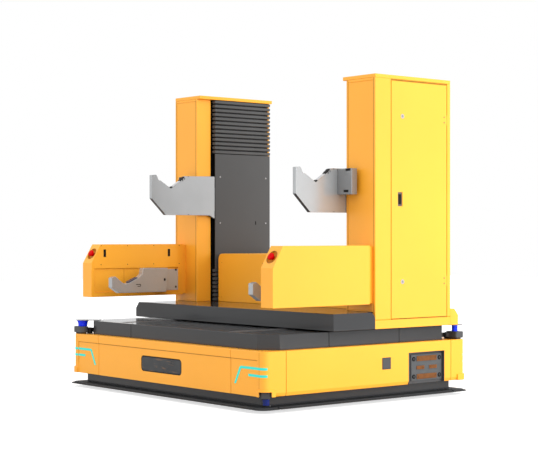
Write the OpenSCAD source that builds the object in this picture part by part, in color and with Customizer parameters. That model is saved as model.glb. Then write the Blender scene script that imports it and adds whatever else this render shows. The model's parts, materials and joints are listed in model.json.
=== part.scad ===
// Automated guided vehicle that carries long rolls and beams between two lift columns.
// A low painted base on hidden wheels carries a sliding platform. Each of the two columns on
// the platform has a lift carriage with an upper V hook, and a forward arm with a lower hook.
// +X is the driving direction, +Y the vehicle's left and +Z up. The origin is on the floor
// under the middle of the base. All lengths are in millimetres.

/* [Base] */
// Length of the painted base along the driving direction
base_l = 1612; // [1500:1:1700]
// Width of the painted base
base_w = 1974; // [1900:1:2100]
// Height of the painted panels
base_h = 250; // [230:5:320]
// Height of the panels' lower edge above the floor
panel_z = 91; // [80:1:110]
// Radius of the base's upright corners
corner_r = 40; // [35:1:60]
// Thickness of the painted panels
panel_t = 12; // [8:1:16]
// Width of the seams between panels
seam = 3; // [1:0.5:6]
// Depth of the seams pressed into the deck and the columns
seam_d = 2; // [1:0.5:3]
// Length of a corner post along the front
post_front = 302; // [250:1:350]
// Length of a front corner post along the side
post_side = 159; // [130:1:200]
// Length of a rear corner post along the side
post_rear = 131; // [120:1:200]
// Height of the plain band above the pressed field of the front
band_h = 48; // [30:1:80]
// Depth of the pressed field of the front
field_d = 4; // [2:0.5:6]
// Distance from the side of the base to the pressed field
field_inset = 62; // [50:1:90]
// How far the lip at the foot of a corner stands proud
lip_out = 9; // [6:1:20]
// Height of the lip at the foot of a corner
lip_h = 38; // [25:1:50]
// Height of the bevel under the side panels
bevel_h = 20; // [10:1:24]
// Depth of the bevel under the side panels
bevel_d = 8; // [4:1:10]
// Length of the lip along the front and along the side
lip_run = [57, 78];
// Height of the frame's underside above the floor
frame_z = 115; // [112:1:125]

/* [Windows and lights] */
// Width of the dark window in the front
window_w = 420; // [300:2:500]
// Height of the dark window
window_h = 95; // [60:1:110]
// Height of the window's middle above the floor
window_z = 201; // [185:1:215]
// Corner radius of the window
window_r = 25; // [10:1:40]
// How far the window's glass stands behind the pressed field
window_back = 2; // [1:0.5:4]
// Width of a light strip
strip_w = 14; // [8:1:20]
// Thickness of a light strip
strip_t = 1.5; // [1:0.5:3]
// Height of the upper light strip's middle
strip_z_high = 247; // [235:1:255]
// Height of the lower light strip's middle
strip_z_low = 207; // [190:1:215]
// Distance of the upper strip's bend from the base's side
strip_bend = 215; // [170:1:230]
// Distance of the leg's foot from the base's side
strip_foot = 270; // [240:1:280]
// Width of the leg, measured level
strip_leg = 15.4; // [10:0.2:20]
// Height of the leg's foot
strip_foot_z = 152; // [140:1:170]
// Distance of the lower strip's end from the base's side
strip_short = 143; // [110:1:160]
// How far back the strips run round the corner
strip_wrap = 26; // [6:1:35]

/* [Charging plate] */
// Width of the charging tray
charge_w = 307; // [280:1:340]
// Height of the plain panel over the charging tray
charge_drop = 61; // [50:1:90]
// Distance of the charging tray's middle from the base's rear
charge_in = 342; // [320:1:360]
// Depth of the charging tray
charge_depth = 22; // [16:1:30]
// Thickness of the charging tray's sheet
charge_t = 3; // [2:0.5:5]
// Length, height and thickness of the contact plate in the tray
plate_size = [262, 158, 6];
// Distance of the contact plate's middle behind the tray's middle
plate_shift = 14; // [0:1:18]
// Distance of the contact plate's top below the tray's top
plate_drop = 15; // [8:1:20]
// Height of the contact pads over the plate
pad_t = 3; // [1:0.5:6]
// Length and height of the two long contact pads
pad_long = [170, 31];
// Length and height of the two short contact pads
pad_short = [66, 22];
// Distance between the middles of the long contact pads
pad_pitch = 108; // [90:1:120]
// Distance between the middles of the short contact pads
pad_gap = 108; // [90:1:120]
// Side of the square service socket
socket_w = 70; // [50:1:90]
// Distance of the socket's middle behind the base's middle
socket_x = 125; // [110:1:160]
// Height of the socket's middle above the floor
socket_z = 228; // [200:1:250]

/* [Deck] */
// Height of the deck over the painted base
deck_h = 87; // [60:1:110]
// Width of the painted ledge in front of and behind the deck
ledge_x = 66; // [40:1:90]
// Width of the painted ledge beside the deck
ledge_y = 52; // [30:1:70]
// Length of the deck's corner chamfers
deck_chamfer = 90; // [60:1:110]
// Distance of the deck's side seams from its middle
deck_seam_x = 282; // [200:1:350]
// Distance of the deck's front and rear seam from its middle
deck_seam_y = 412; // [300:1:500]
// Distance of a deck rail's middle from the base's side
rail_in = 427; // [350:1:480]
// Width of a deck rail
rail_w = 80; // [50:2:100]
// Height of a deck rail
rail_h = 6; // [4:0.5:10]

/* [Apron and contact strips] */
// Distance of the apron inside the base's front and rear
apron_in_x = 51; // [40:1:60]
// Distance of the apron inside the base's sides
apron_in_y = 75; // [60:0.5:90]
// Length of the apron's corner chamfers
apron_chamfer = 20; // [15:1:30]
// Thickness of the apron
apron_t = 8; // [4:1:12]
// Height of the contact strips' underside above the floor
bumper_z = 20; // [15:1:30]
// Thickness of the contact strips
bumper_t = 12; // [8:1:16]
// How far the contact strips stand out at the front and rear
bumper_out_x = 29; // [20:1:40]
// How far the contact strips stand out at the sides
bumper_out_y = 13; // [6:1:18]
// Corner radius of the contact strips
bumper_r = 60; // [40:1:80]
// Length of a corner piece of the contact strips along the side and along the front
bumper_corner = [138, 90];
// Distance of a contact strip's upper layer inside its lower layer
bumper_step = 18; // [10:1:25]
// Gap between a corner piece and a straight strip
bumper_gap = 8; // [4:1:12]

/* [Scanners] */
// Height of an upper scanner's foot under its housing
scan_foot = 9; // [4:1:12]
// Height of an upper scanner's housing
scan_h = 39; // [30:1:44]
// Distance of an upper scanner's foot inside its housing's sides
foot_in = 12; // [8:1:15]
// Distance of the front scanner's axis from the front and from the side of its corner
scan_inset = [47, 43];
// Length and width of the front scanner's housing
front_scan = [60, 112];
// Radius of the front scanner's upright edges
scan_r = 25; // [10:1:28]
// Distance of the front scanner's housing ahead of its window's axis
scan_shift = 13; // [0:1:20]
// Diameter of the front scanner's window at the top
dome_d_top = 69; // [55:1:80]
// Diameter of the front scanner's window at the bottom
dome_d_low = 58; // [45:1:70]
// Distance of the rear scanner's axis from the rear and from the side of its corner
rear_scan_inset = [47, 48];
// Length and width of the rear scanner's housing
rear_scan = [67, 92];
// Width and height of the bracket between an upper scanner and the deck, and its level over
// the housing's underside
scan_bracket = [26, 26, 4];
// Diameter of the rear scanner's window
rear_dome_d = 36; // [30:1:45]
// Thickness of the plate over an upper scanner
guard_t = 4; // [2:0.5:6]
// Diameter of the plate over an upper scanner
guard_d = 98; // [90:1:106]
// Width of the plate over an upper scanner where it reaches the deck
guard_w = 84; // [60:1:88]
// Length of the guard plate's seat on the deck
guard_seat = 30; // [15:1:45]
// Distance of a lower scanner's middle from the end and from the side of its corner
low_scan_inset = [50, 45];
// Width of a lower scanner
low_scan_w = 51; // [40:1:60]
// Height of a lower scanner's housing
low_scan_h = 36; // [25:1:38]
// Diameter of a lower scanner's window
low_dome_d = 38; // [30:1:45]
// Height of a lower scanner's window
low_dome_h = 36; // [25:1:38]
// Width of the notch over a lower scanner
low_notch_w = 71; // [62:1:80]
// Height of the notch over a lower scanner
low_notch_h = 28; // [24:1:32]

/* [Platform] */
// Height of the platform's underside above the deck
platform_gap = 6; // [5.5:0.5:12]
// Thickness of the platform
platform_h = 99; // [70:1:120]
// Front face of the platform ahead of the base's middle
platform_x1 = 304.6; // [280:0.1:340]
// How far the platform stands out over the base's sides
platform_over = 11; // [5:1:20]
// Width and height of the chamfer on the platform's right end
platform_chamfer = [33, 40];
// Radius of the platform's front step behind the arms
platform_r = 45; // [30:1:60]
// Length of the beam behind the columns
rear_beam_l = 70.5; // [50:0.5:90]
// Width and height of the rear beam's chamfer
rear_beam_chamfer = [33, 40];
// Height of the middle cabinet over the platform
cabinet_h = 325.5; // [250:0.5:400]
// Gap between the middle cabinet and the columns
cabinet_gap = 48; // [43:1:80]
// Distance of the cabinet's front behind the columns' front
cabinet_back = 146; // [100:1:200]
// Radius of the middle cabinet's upper edges
cabinet_r = 38; // [20:1:60]

/* [Columns] */
// Front face of the columns, behind the base's middle
column_front = 24.2; // [20:0.1:40]
// Length of a column, front to rear
column_l = 634.3; // [620:0.1:660]
// Width of a column
column_w = 249; // [240:1:260]
// Distance of a column's outer face inside the platform's side
column_in = 1; // [0.5:0.5:5]
// Height of the columns' top above the floor
column_top = 1930; // [1800:5:2100]
// Thickness of a column's walls
column_t = 15; // [10:1:18]
// Thickness of a column's cap
cap_t = 22; // [15:1:30]
// How far a cap stands proud over the bellows
cap_over = 32; // [30:1:40]
// Width of the painted flange in front of the bellows
flange_w = 117; // [100:1:125]
// Depth of the field in a column's front face
front_field = 2; // [1:0.5:4]
// Width of the edge round the field in a column's front face
front_edge = 15; // [10:1:30]
// Thickness of the partition between lift and cupboard
mast_t = 15; // [10:1:20]
// Width of a lift rail
mast_rail_w = 40; // [30:1:50]
// Height of a lift rail over the partition
mast_rail_h = 30; // [20:1:35]
// Distance of the lift rails from the column's middle
mast_rail_x = 150; // [120:1:180]

/* [Doors] */
// Distance of a door's front edge behind the column's front
door_front = 132.8; // [120:0.1:150]
// Distance of a door's rear edge ahead of the column's rear
door_rear = 32.5; // [28:0.1:40]
// Height of a door's lower edge above the floor
door_z = 490; // [485:1:500]
// Thickness of a door
door_t = 18; // [12:1:20]
// Gap round a door
door_gap = 5; // [4:0.5:8]
// Gap between a door and the column's cap
door_top_gap = 10; // [5:0.5:14]
// Diameter of a door's hinge pins
hinge_d = 4; // [3:0.5:4.5]
// Length of a door's hinge pins
hinge_l = 60; // [40:1:90]
// Distance of the hinges' middles from the door's ends
hinge_end = 214; // [150:1:260]
// Height of the handle's recess in a door
handle_h = 84; // [60:1:110]
// Width of the handle's recess in a door
handle_w = 38; // [30:1:50]
// Depth of the handle's recess in a door
handle_d = 6; // [3:1:8]
// Height of the handle's middle above the floor
handle_z = 1197; // [1100:1:1300]
// Distance of the handle's middle from the door's front edge
handle_x = 72; // [50:1:100]

/* [Lift] */
// Height of the carriage cover's lower edge above the floor
cover_z0 = 756; // [720:1:790]
// Height of the carriage cover's upper edge above the floor
cover_z1 = 1539; // [1500:1:1560]
// Thickness of the carriage cover
cover_t = 6; // [4:1:8]
// Gap between the painted flange and the carriage cover
cover_gap = 15; // [8:1:20]
// Number of folds in the upper bellows
folds_high = 13; // [10:1:16]
// Number of folds in the lower bellows
folds_low = 8; // [6:1:10]
// Depth of the bellows' folds
fold_d = 22; // [14:1:26]
// Thickness of the lift carriage behind its cover
carriage_t = 26; // [20:1:30]
// Height of the lift carriage behind its cover
carriage_h = 320; // [250:5:400]
// Distance of the carriage's middle above the cover's middle
carriage_up = 80; // [60:1:100]
// Distance of the carriage's sides inside the cover's sides
carriage_in = 60; // [50:1:90]
// Height of the bars that join the cover to its carriage
bar_h = 20; // [10:1:30]
// Distance of the bars from the carriage's ends
bar_in = 20; // [15:1:60]
// Thickness of the bellows' back behind the folds
bellows_back = 4; // [2:0.5:6]

/* [Upper hooks] */
// Thickness of an upper hook
hook_t = 27; // [20:1:27]
// Height of an upper hook's top edge above the floor
hook_top = 1384; // [1360:1:1400]
// Height of an upper hook's lower edge above the floor
hook_low = 1118; // [1100:1:1140]
// Position of the upper V's bottom ahead of the base's middle
vee_x = 214; // [200:1:260]
// Depth of the upper V below the hook's top
vee_d = 89; // [70:1:100]
// Length of an upper hook's nose ahead of the V's bottom
nose_l = 156; // [140:1:170]
// Distance of an upper hook's rear edge ahead of the carriage cover
hook_rear = 6; // [5:0.5:10]
// Length and height of the slope at the hook's lower rear corner
hook_heel = [43, 21];
// Length and height of the slope under the hook's nose
hook_chin = [113, 108];
// Outline of the nose's top, behind the nose's front and below the hook's top
HOOK_NOSE = [[0, 3], [37, 0], [44, 10], [51, 27], [59, 37]];
// Outline of the V, ahead of and above its bottom
HOOK_VEE = [[84, 51], [0, 0], [-78, 50], [-112, 78], [-116, 85]];
// Length of the tongue behind the carriage cover
tongue_l = 250; // [150:5:350]
// Length of the sensor box beside an upper hook
sensor_l = 46; // [30:1:60]
// Width of the sensor box
sensor_w = 124; // [100:1:150]
// Height of the sensor box
sensor_h = 155; // [120:1:170]
// Position of the sensor box ahead of the columns' front
sensor_x = 22; // [15:1:40]
// Distance of the sensor box's top below the hook's top
sensor_drop = 5; // [2:1:12]
// Depth, width and height of a slot in the sensor box's front
sensor_slot = [4, 60, 9];
// Distance of the slots' middles from the sensor box's ends
sensor_slot_end = 22; // [15:1:40]

/* [Arms] */
// Width of an arm
arm_w = 104; // [90:1:110]
// Length of an arm ahead of the base's middle
arm_l = 737.5; // [700:0.5:800]
// Height of an arm's underside above the floor
arm_z = 579; // [570:1:600]
// Height of an arm
arm_h = 344.6; // [330:0.1:360]
// Distance of an arm's outer face inside the column's outer face
arm_inset = 19; // [10:1:30]
// Length and height of the chamfer at an arm's front
arm_chamfer = [72.5, 123];
// Inset of an arm's mounting flange from the arm's outline
arm_flange_in = 6; // [2:1:10]
// Front and rear distance of the slideway's recess from the arm's ends
slot_ends = [42, 23.5];
// Height of the slideway's recess
slot_h = 156; // [140:1:170]
// Height of the recess over the arm's underside
slot_z = 30; // [20:1:40]
// Depth of the slideway's recess
slot_d = 42; // [35:1:50]
// Height and thickness of the rail in the recess
slot_rail = [30, 12];
// Width of a slot at an arm's corners
vent_w = 13; // [8:1:16]
// Height of a slot at an arm's corners
vent_h = 48; // [30:1:60]
// Depth of a slot at an arm's corners
vent_d = 8; // [4:1:12]
// Distance of the rear slot from the arm's rear end, and of the front slot from its front
vent_x = [119, 103];
// Distance of the slots' feet below the arm's top
vent_drop = 82; // [60:1:100]
// Diameter of the dish round an emergency stop
stop_dish_d = 81; // [60:1:90]
// Depth of the dish round an emergency stop
stop_dish_h = 15; // [6:1:18]
// Thickness of an emergency stop's collar in its dish
stop_collar_h = 4; // [2:1:6]
// Diameter of an emergency stop's button
stop_d = 42; // [35:1:48]
// Thickness of an emergency stop's button
stop_h = 14; // [8:1:18]
// Diameter of an emergency stop's stem
stop_stem_d = 24; // [16:1:30]
// Distance between the dish's rim and the underside of the button
stop_lift = 2; // [1:0.5:5]

/* [Lower hooks] */
// Thickness of a lower hook
low_hook_t = 41; // [35:1:42]
// Height of a lower hook's underside above the floor
low_hook_z = 609; // [600:1:620]
// Height of a lower hook over its underside
low_hook_h = 160; // [150:1:175]
// Rear edge of a lower hook ahead of the base's middle
low_hook_x = 250; // [240:1:280]
// Position of the lower cradle's bottom ahead of the base's middle
cradle_x = 584; // [570:1:600]
// Height of the lower cradle's bottom over the hook's underside
cradle_h = 57.5; // [50:0.5:65]
// Outline of the cradle and its tip, ahead of and above the cradle's bottom
CRADLE = [[-24, 5.5], [0, 0], [21, 6.5], [79, 50.5], [106, 42.5], [106, -20]];
// Outline behind the cradle, ahead of the hook's rear edge and below the hook's top
LOW_HOOK_REAR = [[0, 3], [197, 0], [204.5, 41], [236, 64]];
// Distance of the underside's front end ahead of the cradle's bottom
low_hook_toe = 50; // [35:1:90]
// Distance of the underside's rear end ahead of the hook's rear edge
low_hook_heel = 11.5; // [5:0.5:20]
// Length of the block behind a lower hook
block_l = 113; // [90:1:130]
// Length of the block beside a lower hook
block_lap = 40; // [30:1:60]
// Depth of the block beside a lower hook
block_lap_d = 60; // [40:1:75]
// Height of the block that carries a lower hook
block_h = 140; // [120:1:144]
// Distance between the columns' inner faces and the lower hooks' outer faces
low_hook_in = 4; // [3:0.5:8]

/* [Wheels] */
// Diameter of a drive wheel
drive_d = 230; // [200:2:240]
// Width of a drive wheel
drive_w = 75; // [60:1:80]
// Distance of a drive wheel from the base's end
drive_in = 306; // [280:1:340]
// Diameter of a drive wheel's well
drive_well_d = 300; // [290:2:340]
// Height of a drive wheel's well above the floor
drive_well_z = 300; // [290:1:310]
// Thickness of a drive wheel's tread
drive_tread_t = 18; // [10:1:24]
// Width of a drive wheel's fork cheeks
drive_cheek_l = 80; // [60:1:100]
// Diameter of the plate that turns a drive wheel
drive_plate_d = 200; // [180:2:240]
// Diameter of a drive wheel's axle
drive_axle_d = 40; // [30:1:50]
// Diameter of a caster's wheel
caster_d = 150; // [130:2:160]
// Width of a caster's wheel
caster_w = 50; // [40:1:55]
// Trail of a caster
caster_trail = 45; // [35:1:50]
// Distance of a caster from the base's end
caster_in_x = 256; // [235:1:275]
// Distance of a caster from the base's side
caster_in_y = 237; // [220:1:270]
// Diameter of a caster's well
caster_well_d = 280; // [270:2:290]
// Height of a caster's well above the floor
caster_well_z = 205; // [195:1:215]
// Thickness of a caster's tread
caster_tread_t = 14; // [8:1:20]
// Width of a caster's fork cheeks
caster_cheek_l = 44; // [36:1:50]
// Diameter of the plate that turns a caster
caster_plate_d = 110; // [100:2:140]
// Diameter of a caster wheel's axle
caster_axle_d = 20; // [14:1:24]
// Thickness of a wheel fork's cheeks
cheek_t = 10; // [6:1:12]
// Gap between a wheel and its fork
cheek_gap = 5; // [3:1:8]
// Gap between a wheel and the bridge over it
bridge_gap = 8; // [5:1:12]
// Bevel at the edges of a tread
tread_edge = 4; // [2:0.5:6]
// How far a wheel's web stands behind its rim and its hub
web_in = 6; // [3:1:12]
// Running clearance between pieces that turn or slide on each other
run_gap = 0.3; // [0.2:0.1:0.5]

/* [Hidden] */
$fn = 48;
eps = 1;

// Half sizes and levels of the base
base_x = base_l / 2;
base_y = base_w / 2;
base_top = panel_z + base_h;
frame_x = base_x - panel_t;
frame_y = base_y - panel_t;
field_top = base_top - band_h;
deck_x = base_x - ledge_x;
deck_y = base_y - ledge_y;
deck_top = base_top + deck_h;
apron_l = base_l - 2 * apron_in_x;
apron_w = base_w - 2 * apron_in_y;
bumper_l = base_l + 2 * bumper_out_x;
bumper_w = base_w + 2 * bumper_out_y;
apron_in_chamfer = apron_chamfer - apron_t * tan(22.5);
scan_top = scan_foot + scan_h;
rail_y = base_y - rail_in;
charge_x = base_x - charge_in;
charge_top = base_top - charge_drop;
charge_y = base_y - charge_depth;
drive_x = base_x - drive_in;
caster_x = base_x - caster_in_x;
caster_y = base_y - caster_in_y;

// Platform and columns
platform_y = base_y + platform_over;
platform_z = deck_top + platform_gap;
platform_top = platform_z + platform_h;
col_x1 = -column_front;
col_x0 = col_x1 - column_l;
col_mid_x = (col_x0 + col_x1) / 2;
col_y1 = platform_y - column_in;
col_y0 = col_y1 - column_w;
cap_z = column_top - cap_t;
cap_y0 = col_y0 - cap_over;
cabinet_x1 = col_x1 - cabinet_back;
cabinet_y = col_y0 - cabinet_gap;

// Lift opening, cover and bellows
open_x0 = col_x0 + column_t;
open_x1 = col_x1 - flange_w;
cover_x0 = open_x0 + door_gap;
cover_x1 = open_x1 - cover_gap;
cover_y0 = cap_y0;
tongue_y0 = cover_y0 + cover_t + run_gap;
tongue_y1 = col_y0 - run_gap;
carriage_y0 = tongue_y1 + run_gap;
carriage_z = (cover_z0 + cover_z1) / 2 + carriage_up;
mast_y0 = carriage_y0 + carriage_t + run_gap + mast_rail_h;
mast_y1 = mast_y0 + mast_t;

// Doors
door_x1 = col_x1 - door_front;
door_x0 = col_x0 + door_rear;
door_z1 = cap_z - door_top_gap;
door_y0 = col_y1 - door_t;
platform_rear_y = door_y0 - door_gap;
hinge_x = door_x0 - door_gap / 2;

// Arms and their slideways
arm_y1 = col_y1 - arm_inset;
arm_y0 = arm_y1 - arm_w;
arm_top = arm_z + arm_h;
slot_x0 = slot_ends[0];
slot_x1 = arm_l - slot_ends[1];
slot_z0 = arm_z + slot_z;
slot_z1 = slot_z0 + slot_h;
slot_y1 = arm_y0 + slot_d;
rail_z = (slot_z0 + slot_z1) / 2;
low_hook_y1 = col_y0 - low_hook_in;
low_hook_y0 = low_hook_y1 - low_hook_t;
block_x0 = low_hook_x - block_l;
block_z0 = rail_z - block_h / 2;

// A rectangle with round corners, about the origin
module round_rect(l, w, r) {
  square([l - 2 * r, w], center = true);
  square([l, w - 2 * r], center = true);
  for (x = [-1, 1], y = [-1, 1])
    translate([x * (l / 2 - r), y * (w / 2 - r)]) circle(r);
}

// A rectangle with its corners cut off, about the origin
module cut_rect(l, w, c) {
  polygon([for (p = [[1, 0, 1], [1, 1, 0], [-1, 1, 0], [-1, 0, 1],
                     [-1, 0, -1], [-1, -1, 0], [1, -1, 0], [1, 0, -1]])
    [p[0] * (l / 2 - (p[1] == 0 ? 0 : c)),
     (p[1] == 0 ? p[2] * (w / 2 - c) : p[1] * w / 2)]]);
}

// A box from its low corner to its high corner
module block(lo, hi) {
  translate(lo) cube(hi - lo);
}

// Children on the left side as drawn, or mirrored to the right side
module on_side(side) {
  if (side > 0) children();
  else mirror([0, 1, 0]) children();
}

// Children at the front as drawn, or mirrored to the rear
module at_end(end) {
  if (end > 0) children();
  else mirror([1, 0, 0]) children();
}

// A flat outline in X and Z, thick along Y from y0 to y1
module side_plate(y0, y1, points) {
  translate([0, y1, 0]) rotate([90, 0, 0]) linear_extrude(y1 - y0) polygon(points);
}

// ---- Base ----

// Round wells for the steered wheels and the casters
module wheel_wells() {
  for (x = [-1, 1]) {
    translate([x * drive_x, 0, frame_z - eps])
      cylinder(d = drive_well_d, h = drive_well_z - frame_z + eps, $fn = 64);
    for (y = [-1, 1])
      translate([x * caster_x, y * caster_y, frame_z - eps])
        cylinder(d = caster_well_d, h = caster_well_z - frame_z + eps, $fn = 64);
  }
}

module chassis_frame() {
  color("dimgray") difference() {
    translate([0, 0, frame_z]) linear_extrude(base_top - frame_z)
      round_rect(2 * frame_x, 2 * frame_y, corner_r - panel_t);
    wheel_wells();
    charging_space(frame_z - eps, frame_y + eps);
  }
}

// The space for the charging tray, from a level up to the tray's top
module charging_space(z0, y1) {
  block([-charge_x - charge_w / 2, charge_y - charge_t, z0], [-charge_x + charge_w / 2, y1, charge_top]);
}

// The front panel between the corner posts, with its pressed field and window opening
module end_panel() {
  half = base_y - post_front - seam / 2;
  difference() {
    block([frame_x, -half, panel_z], [base_x, half, base_top]);
    block([base_x - field_d, -half - eps, panel_z - eps], [base_x + eps, half + eps, field_top]);
    translate([frame_x - eps, 0, window_z]) window_outline(panel_t + 2 * eps, 0);
  }
}

// The window's outline, thick along X, and larger all round by a margin
module window_outline(t, margin) {
  w = window_w + 2 * margin;
  h = window_h + 2 * margin;
  rotate([90, 0, 90]) linear_extrude(t) round_rect(w, h, window_r + margin);
}

module front_panel() {
  color("orange") end_panel();
}

module rear_panel() {
  color("orange") at_end(-1) end_panel();
}

// The long bevel under a side panel, as a wedge to cut away
module foot_bevel(x0, x1) {
  translate([x0, 0, 0]) rotate([90, 0, 90]) linear_extrude(x1 - x0)
    polygon([[base_y - bevel_d, panel_z - eps], [base_y + eps, panel_z - eps],
             [base_y + eps, panel_z + bevel_h], [base_y, panel_z + bevel_h],
             [base_y - bevel_d, panel_z]]);
}

module side_panels() {
  rear = -base_x + post_rear + seam / 2;
  front = base_x - post_side - seam / 2;
  color("gold") difference() {
    for (side = [-1, 1]) on_side(side) difference() {
      block([rear, frame_y, panel_z], [front, base_y, base_top]);
      foot_bevel(rear - eps, front + eps);
    }
    charging_space(panel_z - eps, base_y + eps);
  }
}

// One corner post with its lip, drawn at the front left, with its length along the side
module corner_post(has_notch, length) {
  lip_x = base_x - lip_run[1];
  lip_y = base_y - lip_run[0];
  difference() {
    union() {
      intersection() {
        translate([0, 0, panel_z]) linear_extrude(base_h) base_skin(0);
        block([base_x - length + seam / 2, base_y - post_front + seam / 2, 0],
              [base_x + eps, base_y + eps, base_top + eps]);
      }
      intersection() {
        translate([0, 0, panel_z]) linear_extrude(lip_h) base_skin(lip_out);
        block([lip_x, lip_y, 0], [base_x + lip_out + eps, base_y + lip_out + eps, base_top]);
      }
    }
    block([base_x - field_d, 0, panel_z - eps],
          [base_x + eps, base_y - field_inset, field_top]);
    foot_bevel(base_x - length, lip_x);
    if (has_notch) low_scanner_place()
      block([-low_notch_w / 2, -corner_r, panel_z - eps],
            [low_notch_w / 2, 3 * corner_r, panel_z + low_notch_h]);
  }
}

// The ring between the frame and the outside of the base, grown outwards by a margin
module base_skin(margin) {
  difference() {
    round_rect(base_l + 2 * margin, base_w + 2 * margin, corner_r + margin);
    round_rect(2 * frame_x, 2 * frame_y, corner_r - panel_t);
  }
}

module corner_posts() {
  color("gold") for (end = [-1, 1], side = [-1, 1])
    at_end(end) on_side(side) corner_post(end == side, end > 0 ? post_side : post_rear);
}

module deck() {
  color("dimgray") difference() {
    translate([0, 0, base_top]) linear_extrude(deck_h)
      cut_rect(2 * deck_x, 2 * deck_y, deck_chamfer);
    for (s = [-1, 1]) {
      for (side = [-1, 1])
        translate([s * deck_seam_x, side * deck_y, base_top + deck_h / 2])
          cube([seam, 2 * seam_d, deck_h + eps], center = true);
      translate([s * deck_x, -s * deck_seam_y, base_top + deck_h / 2])
        cube([2 * seam_d, seam, deck_h + eps], center = true);
    }
    rails(run_gap, deck_top + eps);
  }
}

// The two rails sunk in the deck, wider all round by a margin, up to a level
module rails(margin, top) {
  half_l = deck_x - deck_chamfer / 2 + margin;
  half_w = rail_w / 2 + margin;
  for (side = [-1, 1])
    block([-half_l, side * rail_y - half_w, deck_top - rail_h], [half_l, side * rail_y + half_w, top]);
}

module deck_rails() {
  color("gray") rails(0, deck_top);
}

// The sheet apron below the frame, down to the contact strips
module apron() {
  top = frame_z;
  low = bumper_z + bumper_t;
  color("dimgray") translate([0, 0, low]) linear_extrude(top - low) difference() {
    cut_rect(apron_l, apron_w, apron_chamfer);
    cut_rect(apron_l - 2 * apron_t, apron_w - 2 * apron_t, apron_in_chamfer);
  }
}

// Straight contact strips with separate round corner pieces, in two layers
module contact_strips() {
  half_l = bumper_l / 2;
  half_w = bumper_w / 2;
  reach_l = 2 * (half_l - apron_l / 2 + apron_t + eps);
  reach_w = 2 * (half_w - apron_w / 2 + apron_t + eps);
  color("dimgray") difference() {
    for (step = [0, bumper_step])
      translate([0, 0, bumper_z]) linear_extrude(step > 0 ? bumper_t : bumper_t / 2) difference() {
        round_rect(bumper_l - 2 * step, bumper_w - 2 * step, bumper_r - step);
        cut_rect(apron_l - 2 * apron_t, apron_w - 2 * apron_t, apron_in_chamfer);
      }
    for (x = [-1, 1], y = [-1, 1]) {
      translate([x * (half_l - bumper_corner[0]), y * half_w, bumper_z])
        cube([bumper_gap, reach_w, 4 * bumper_t], center = true);
      translate([x * half_l, y * (half_w - bumper_corner[1]), bumper_z])
        cube([reach_l, bumper_gap, 4 * bumper_t], center = true);
    }
  }
}

module window_panels() {
  glass_t = panel_t - field_d - window_back;
  color("darkslategray") for (end = [-1, 1]) at_end(end)
    translate([frame_x, 0, window_z]) window_outline(glass_t, -run_gap);
}

// The strips' outline in Y and Z, on the left: y is counted inwards from the base's side
module strip_outline() {
  y_bend = base_y - strip_bend;
  y_foot = base_y - strip_foot;
  half = strip_w / 2;
  polygon([[base_y + lip_out, strip_z_high + half], [y_bend + half, strip_z_high + half],
           [y_bend - half, strip_z_high], [y_foot, strip_foot_z],
           [y_foot + strip_leg, strip_foot_z], [y_bend + strip_leg - half, strip_z_high - half],
           [base_y + lip_out, strip_z_high - half]]);
  translate([base_y - strip_short, strip_z_low - half])
    square([strip_short + lip_out, strip_w]);
}

module light_strips() {
  field_y = base_y - field_inset;
  reach = base_x + lip_out;
  color("turquoise") for (end = [-1, 1], side = [-1, 1]) at_end(end) on_side(side) {
    intersection() {
      rotate([90, 0, 90]) linear_extrude(reach) strip_outline();
      union() {
        block([base_x - field_d, 0, 0], [base_x - field_d + strip_t, field_y - run_gap, base_top]);
        intersection() {
          linear_extrude(base_top) difference() {
            round_rect(base_l + 2 * strip_t, base_w + 2 * strip_t, corner_r + strip_t);
            round_rect(base_l, base_w, corner_r);
          }
          block([base_x - strip_wrap, field_y, 0], [reach, base_y + lip_out, base_top]);
        }
      }
    }
  }
}

// The charging tray in the left side, with the contact plate on its back
module charging_plate() {
  half = charge_w / 2;
  plate_z = charge_top - plate_drop;
  color("slategray") {
    difference() {
      block([-charge_x - half, charge_y - charge_t, panel_z], [-charge_x + half, base_y, charge_top]);
      block([-charge_x - half + charge_t, charge_y, panel_z - eps],
            [-charge_x + half - charge_t, base_y + eps, charge_top - charge_t]);
    }
    translate([-charge_x - plate_shift - plate_size[0] / 2, charge_y - eps, plate_z - plate_size[1]])
      cube([plate_size[0], plate_size[2] + eps, plate_size[1]]);
  }
}

module charging_pads() {
  mid = charge_top - plate_drop - plate_size[1] / 2;
  color("peru") translate([-charge_x - plate_shift, charge_y + plate_size[2] + pad_t / 2, mid])
    for (s = [-1, 1]) {
      translate([0, 0, s * pad_pitch / 2]) cube([pad_long[0], pad_t, pad_long[1]], center = true);
      translate([s * pad_gap / 2, 0, 0]) cube([pad_short[0], pad_t, pad_short[1]], center = true);
    }
}

module service_socket() {
  color("dimgray") translate([-socket_x, base_y + pad_t / 2, socket_z])
    cube([socket_w, pad_t, socket_w], center = true);
}

// ---- Scanners ----

// The upper scanner at the front right corner
module front_scanner_place() {
  on_side(-1) translate([base_x - scan_inset[0], base_y - scan_inset[1], base_top]) children();
}

// The upper scanner at the rear left corner
module rear_scanner_place() {
  at_end(-1) translate([base_x - rear_scan_inset[0], base_y - rear_scan_inset[1], base_top]) children();
}

// A lower scanner's corner, turned so that +Y points out of the corner
module low_scanner_place() {
  translate([base_x - low_scan_inset[0], base_y - low_scan_inset[1], 0]) rotate([0, 0, -45])
    children();
}

module low_scanner_places() {
  for (end = [-1, 1]) at_end(end) on_side(end) low_scanner_place() children();
}

// Distance from a scanner's axis to the deck's chamfer, along the corner's diagonal
function chamfer_gap(inset) =
  (ledge_x + ledge_y + deck_chamfer - inset[0] - inset[1]) / sqrt(2);

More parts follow.
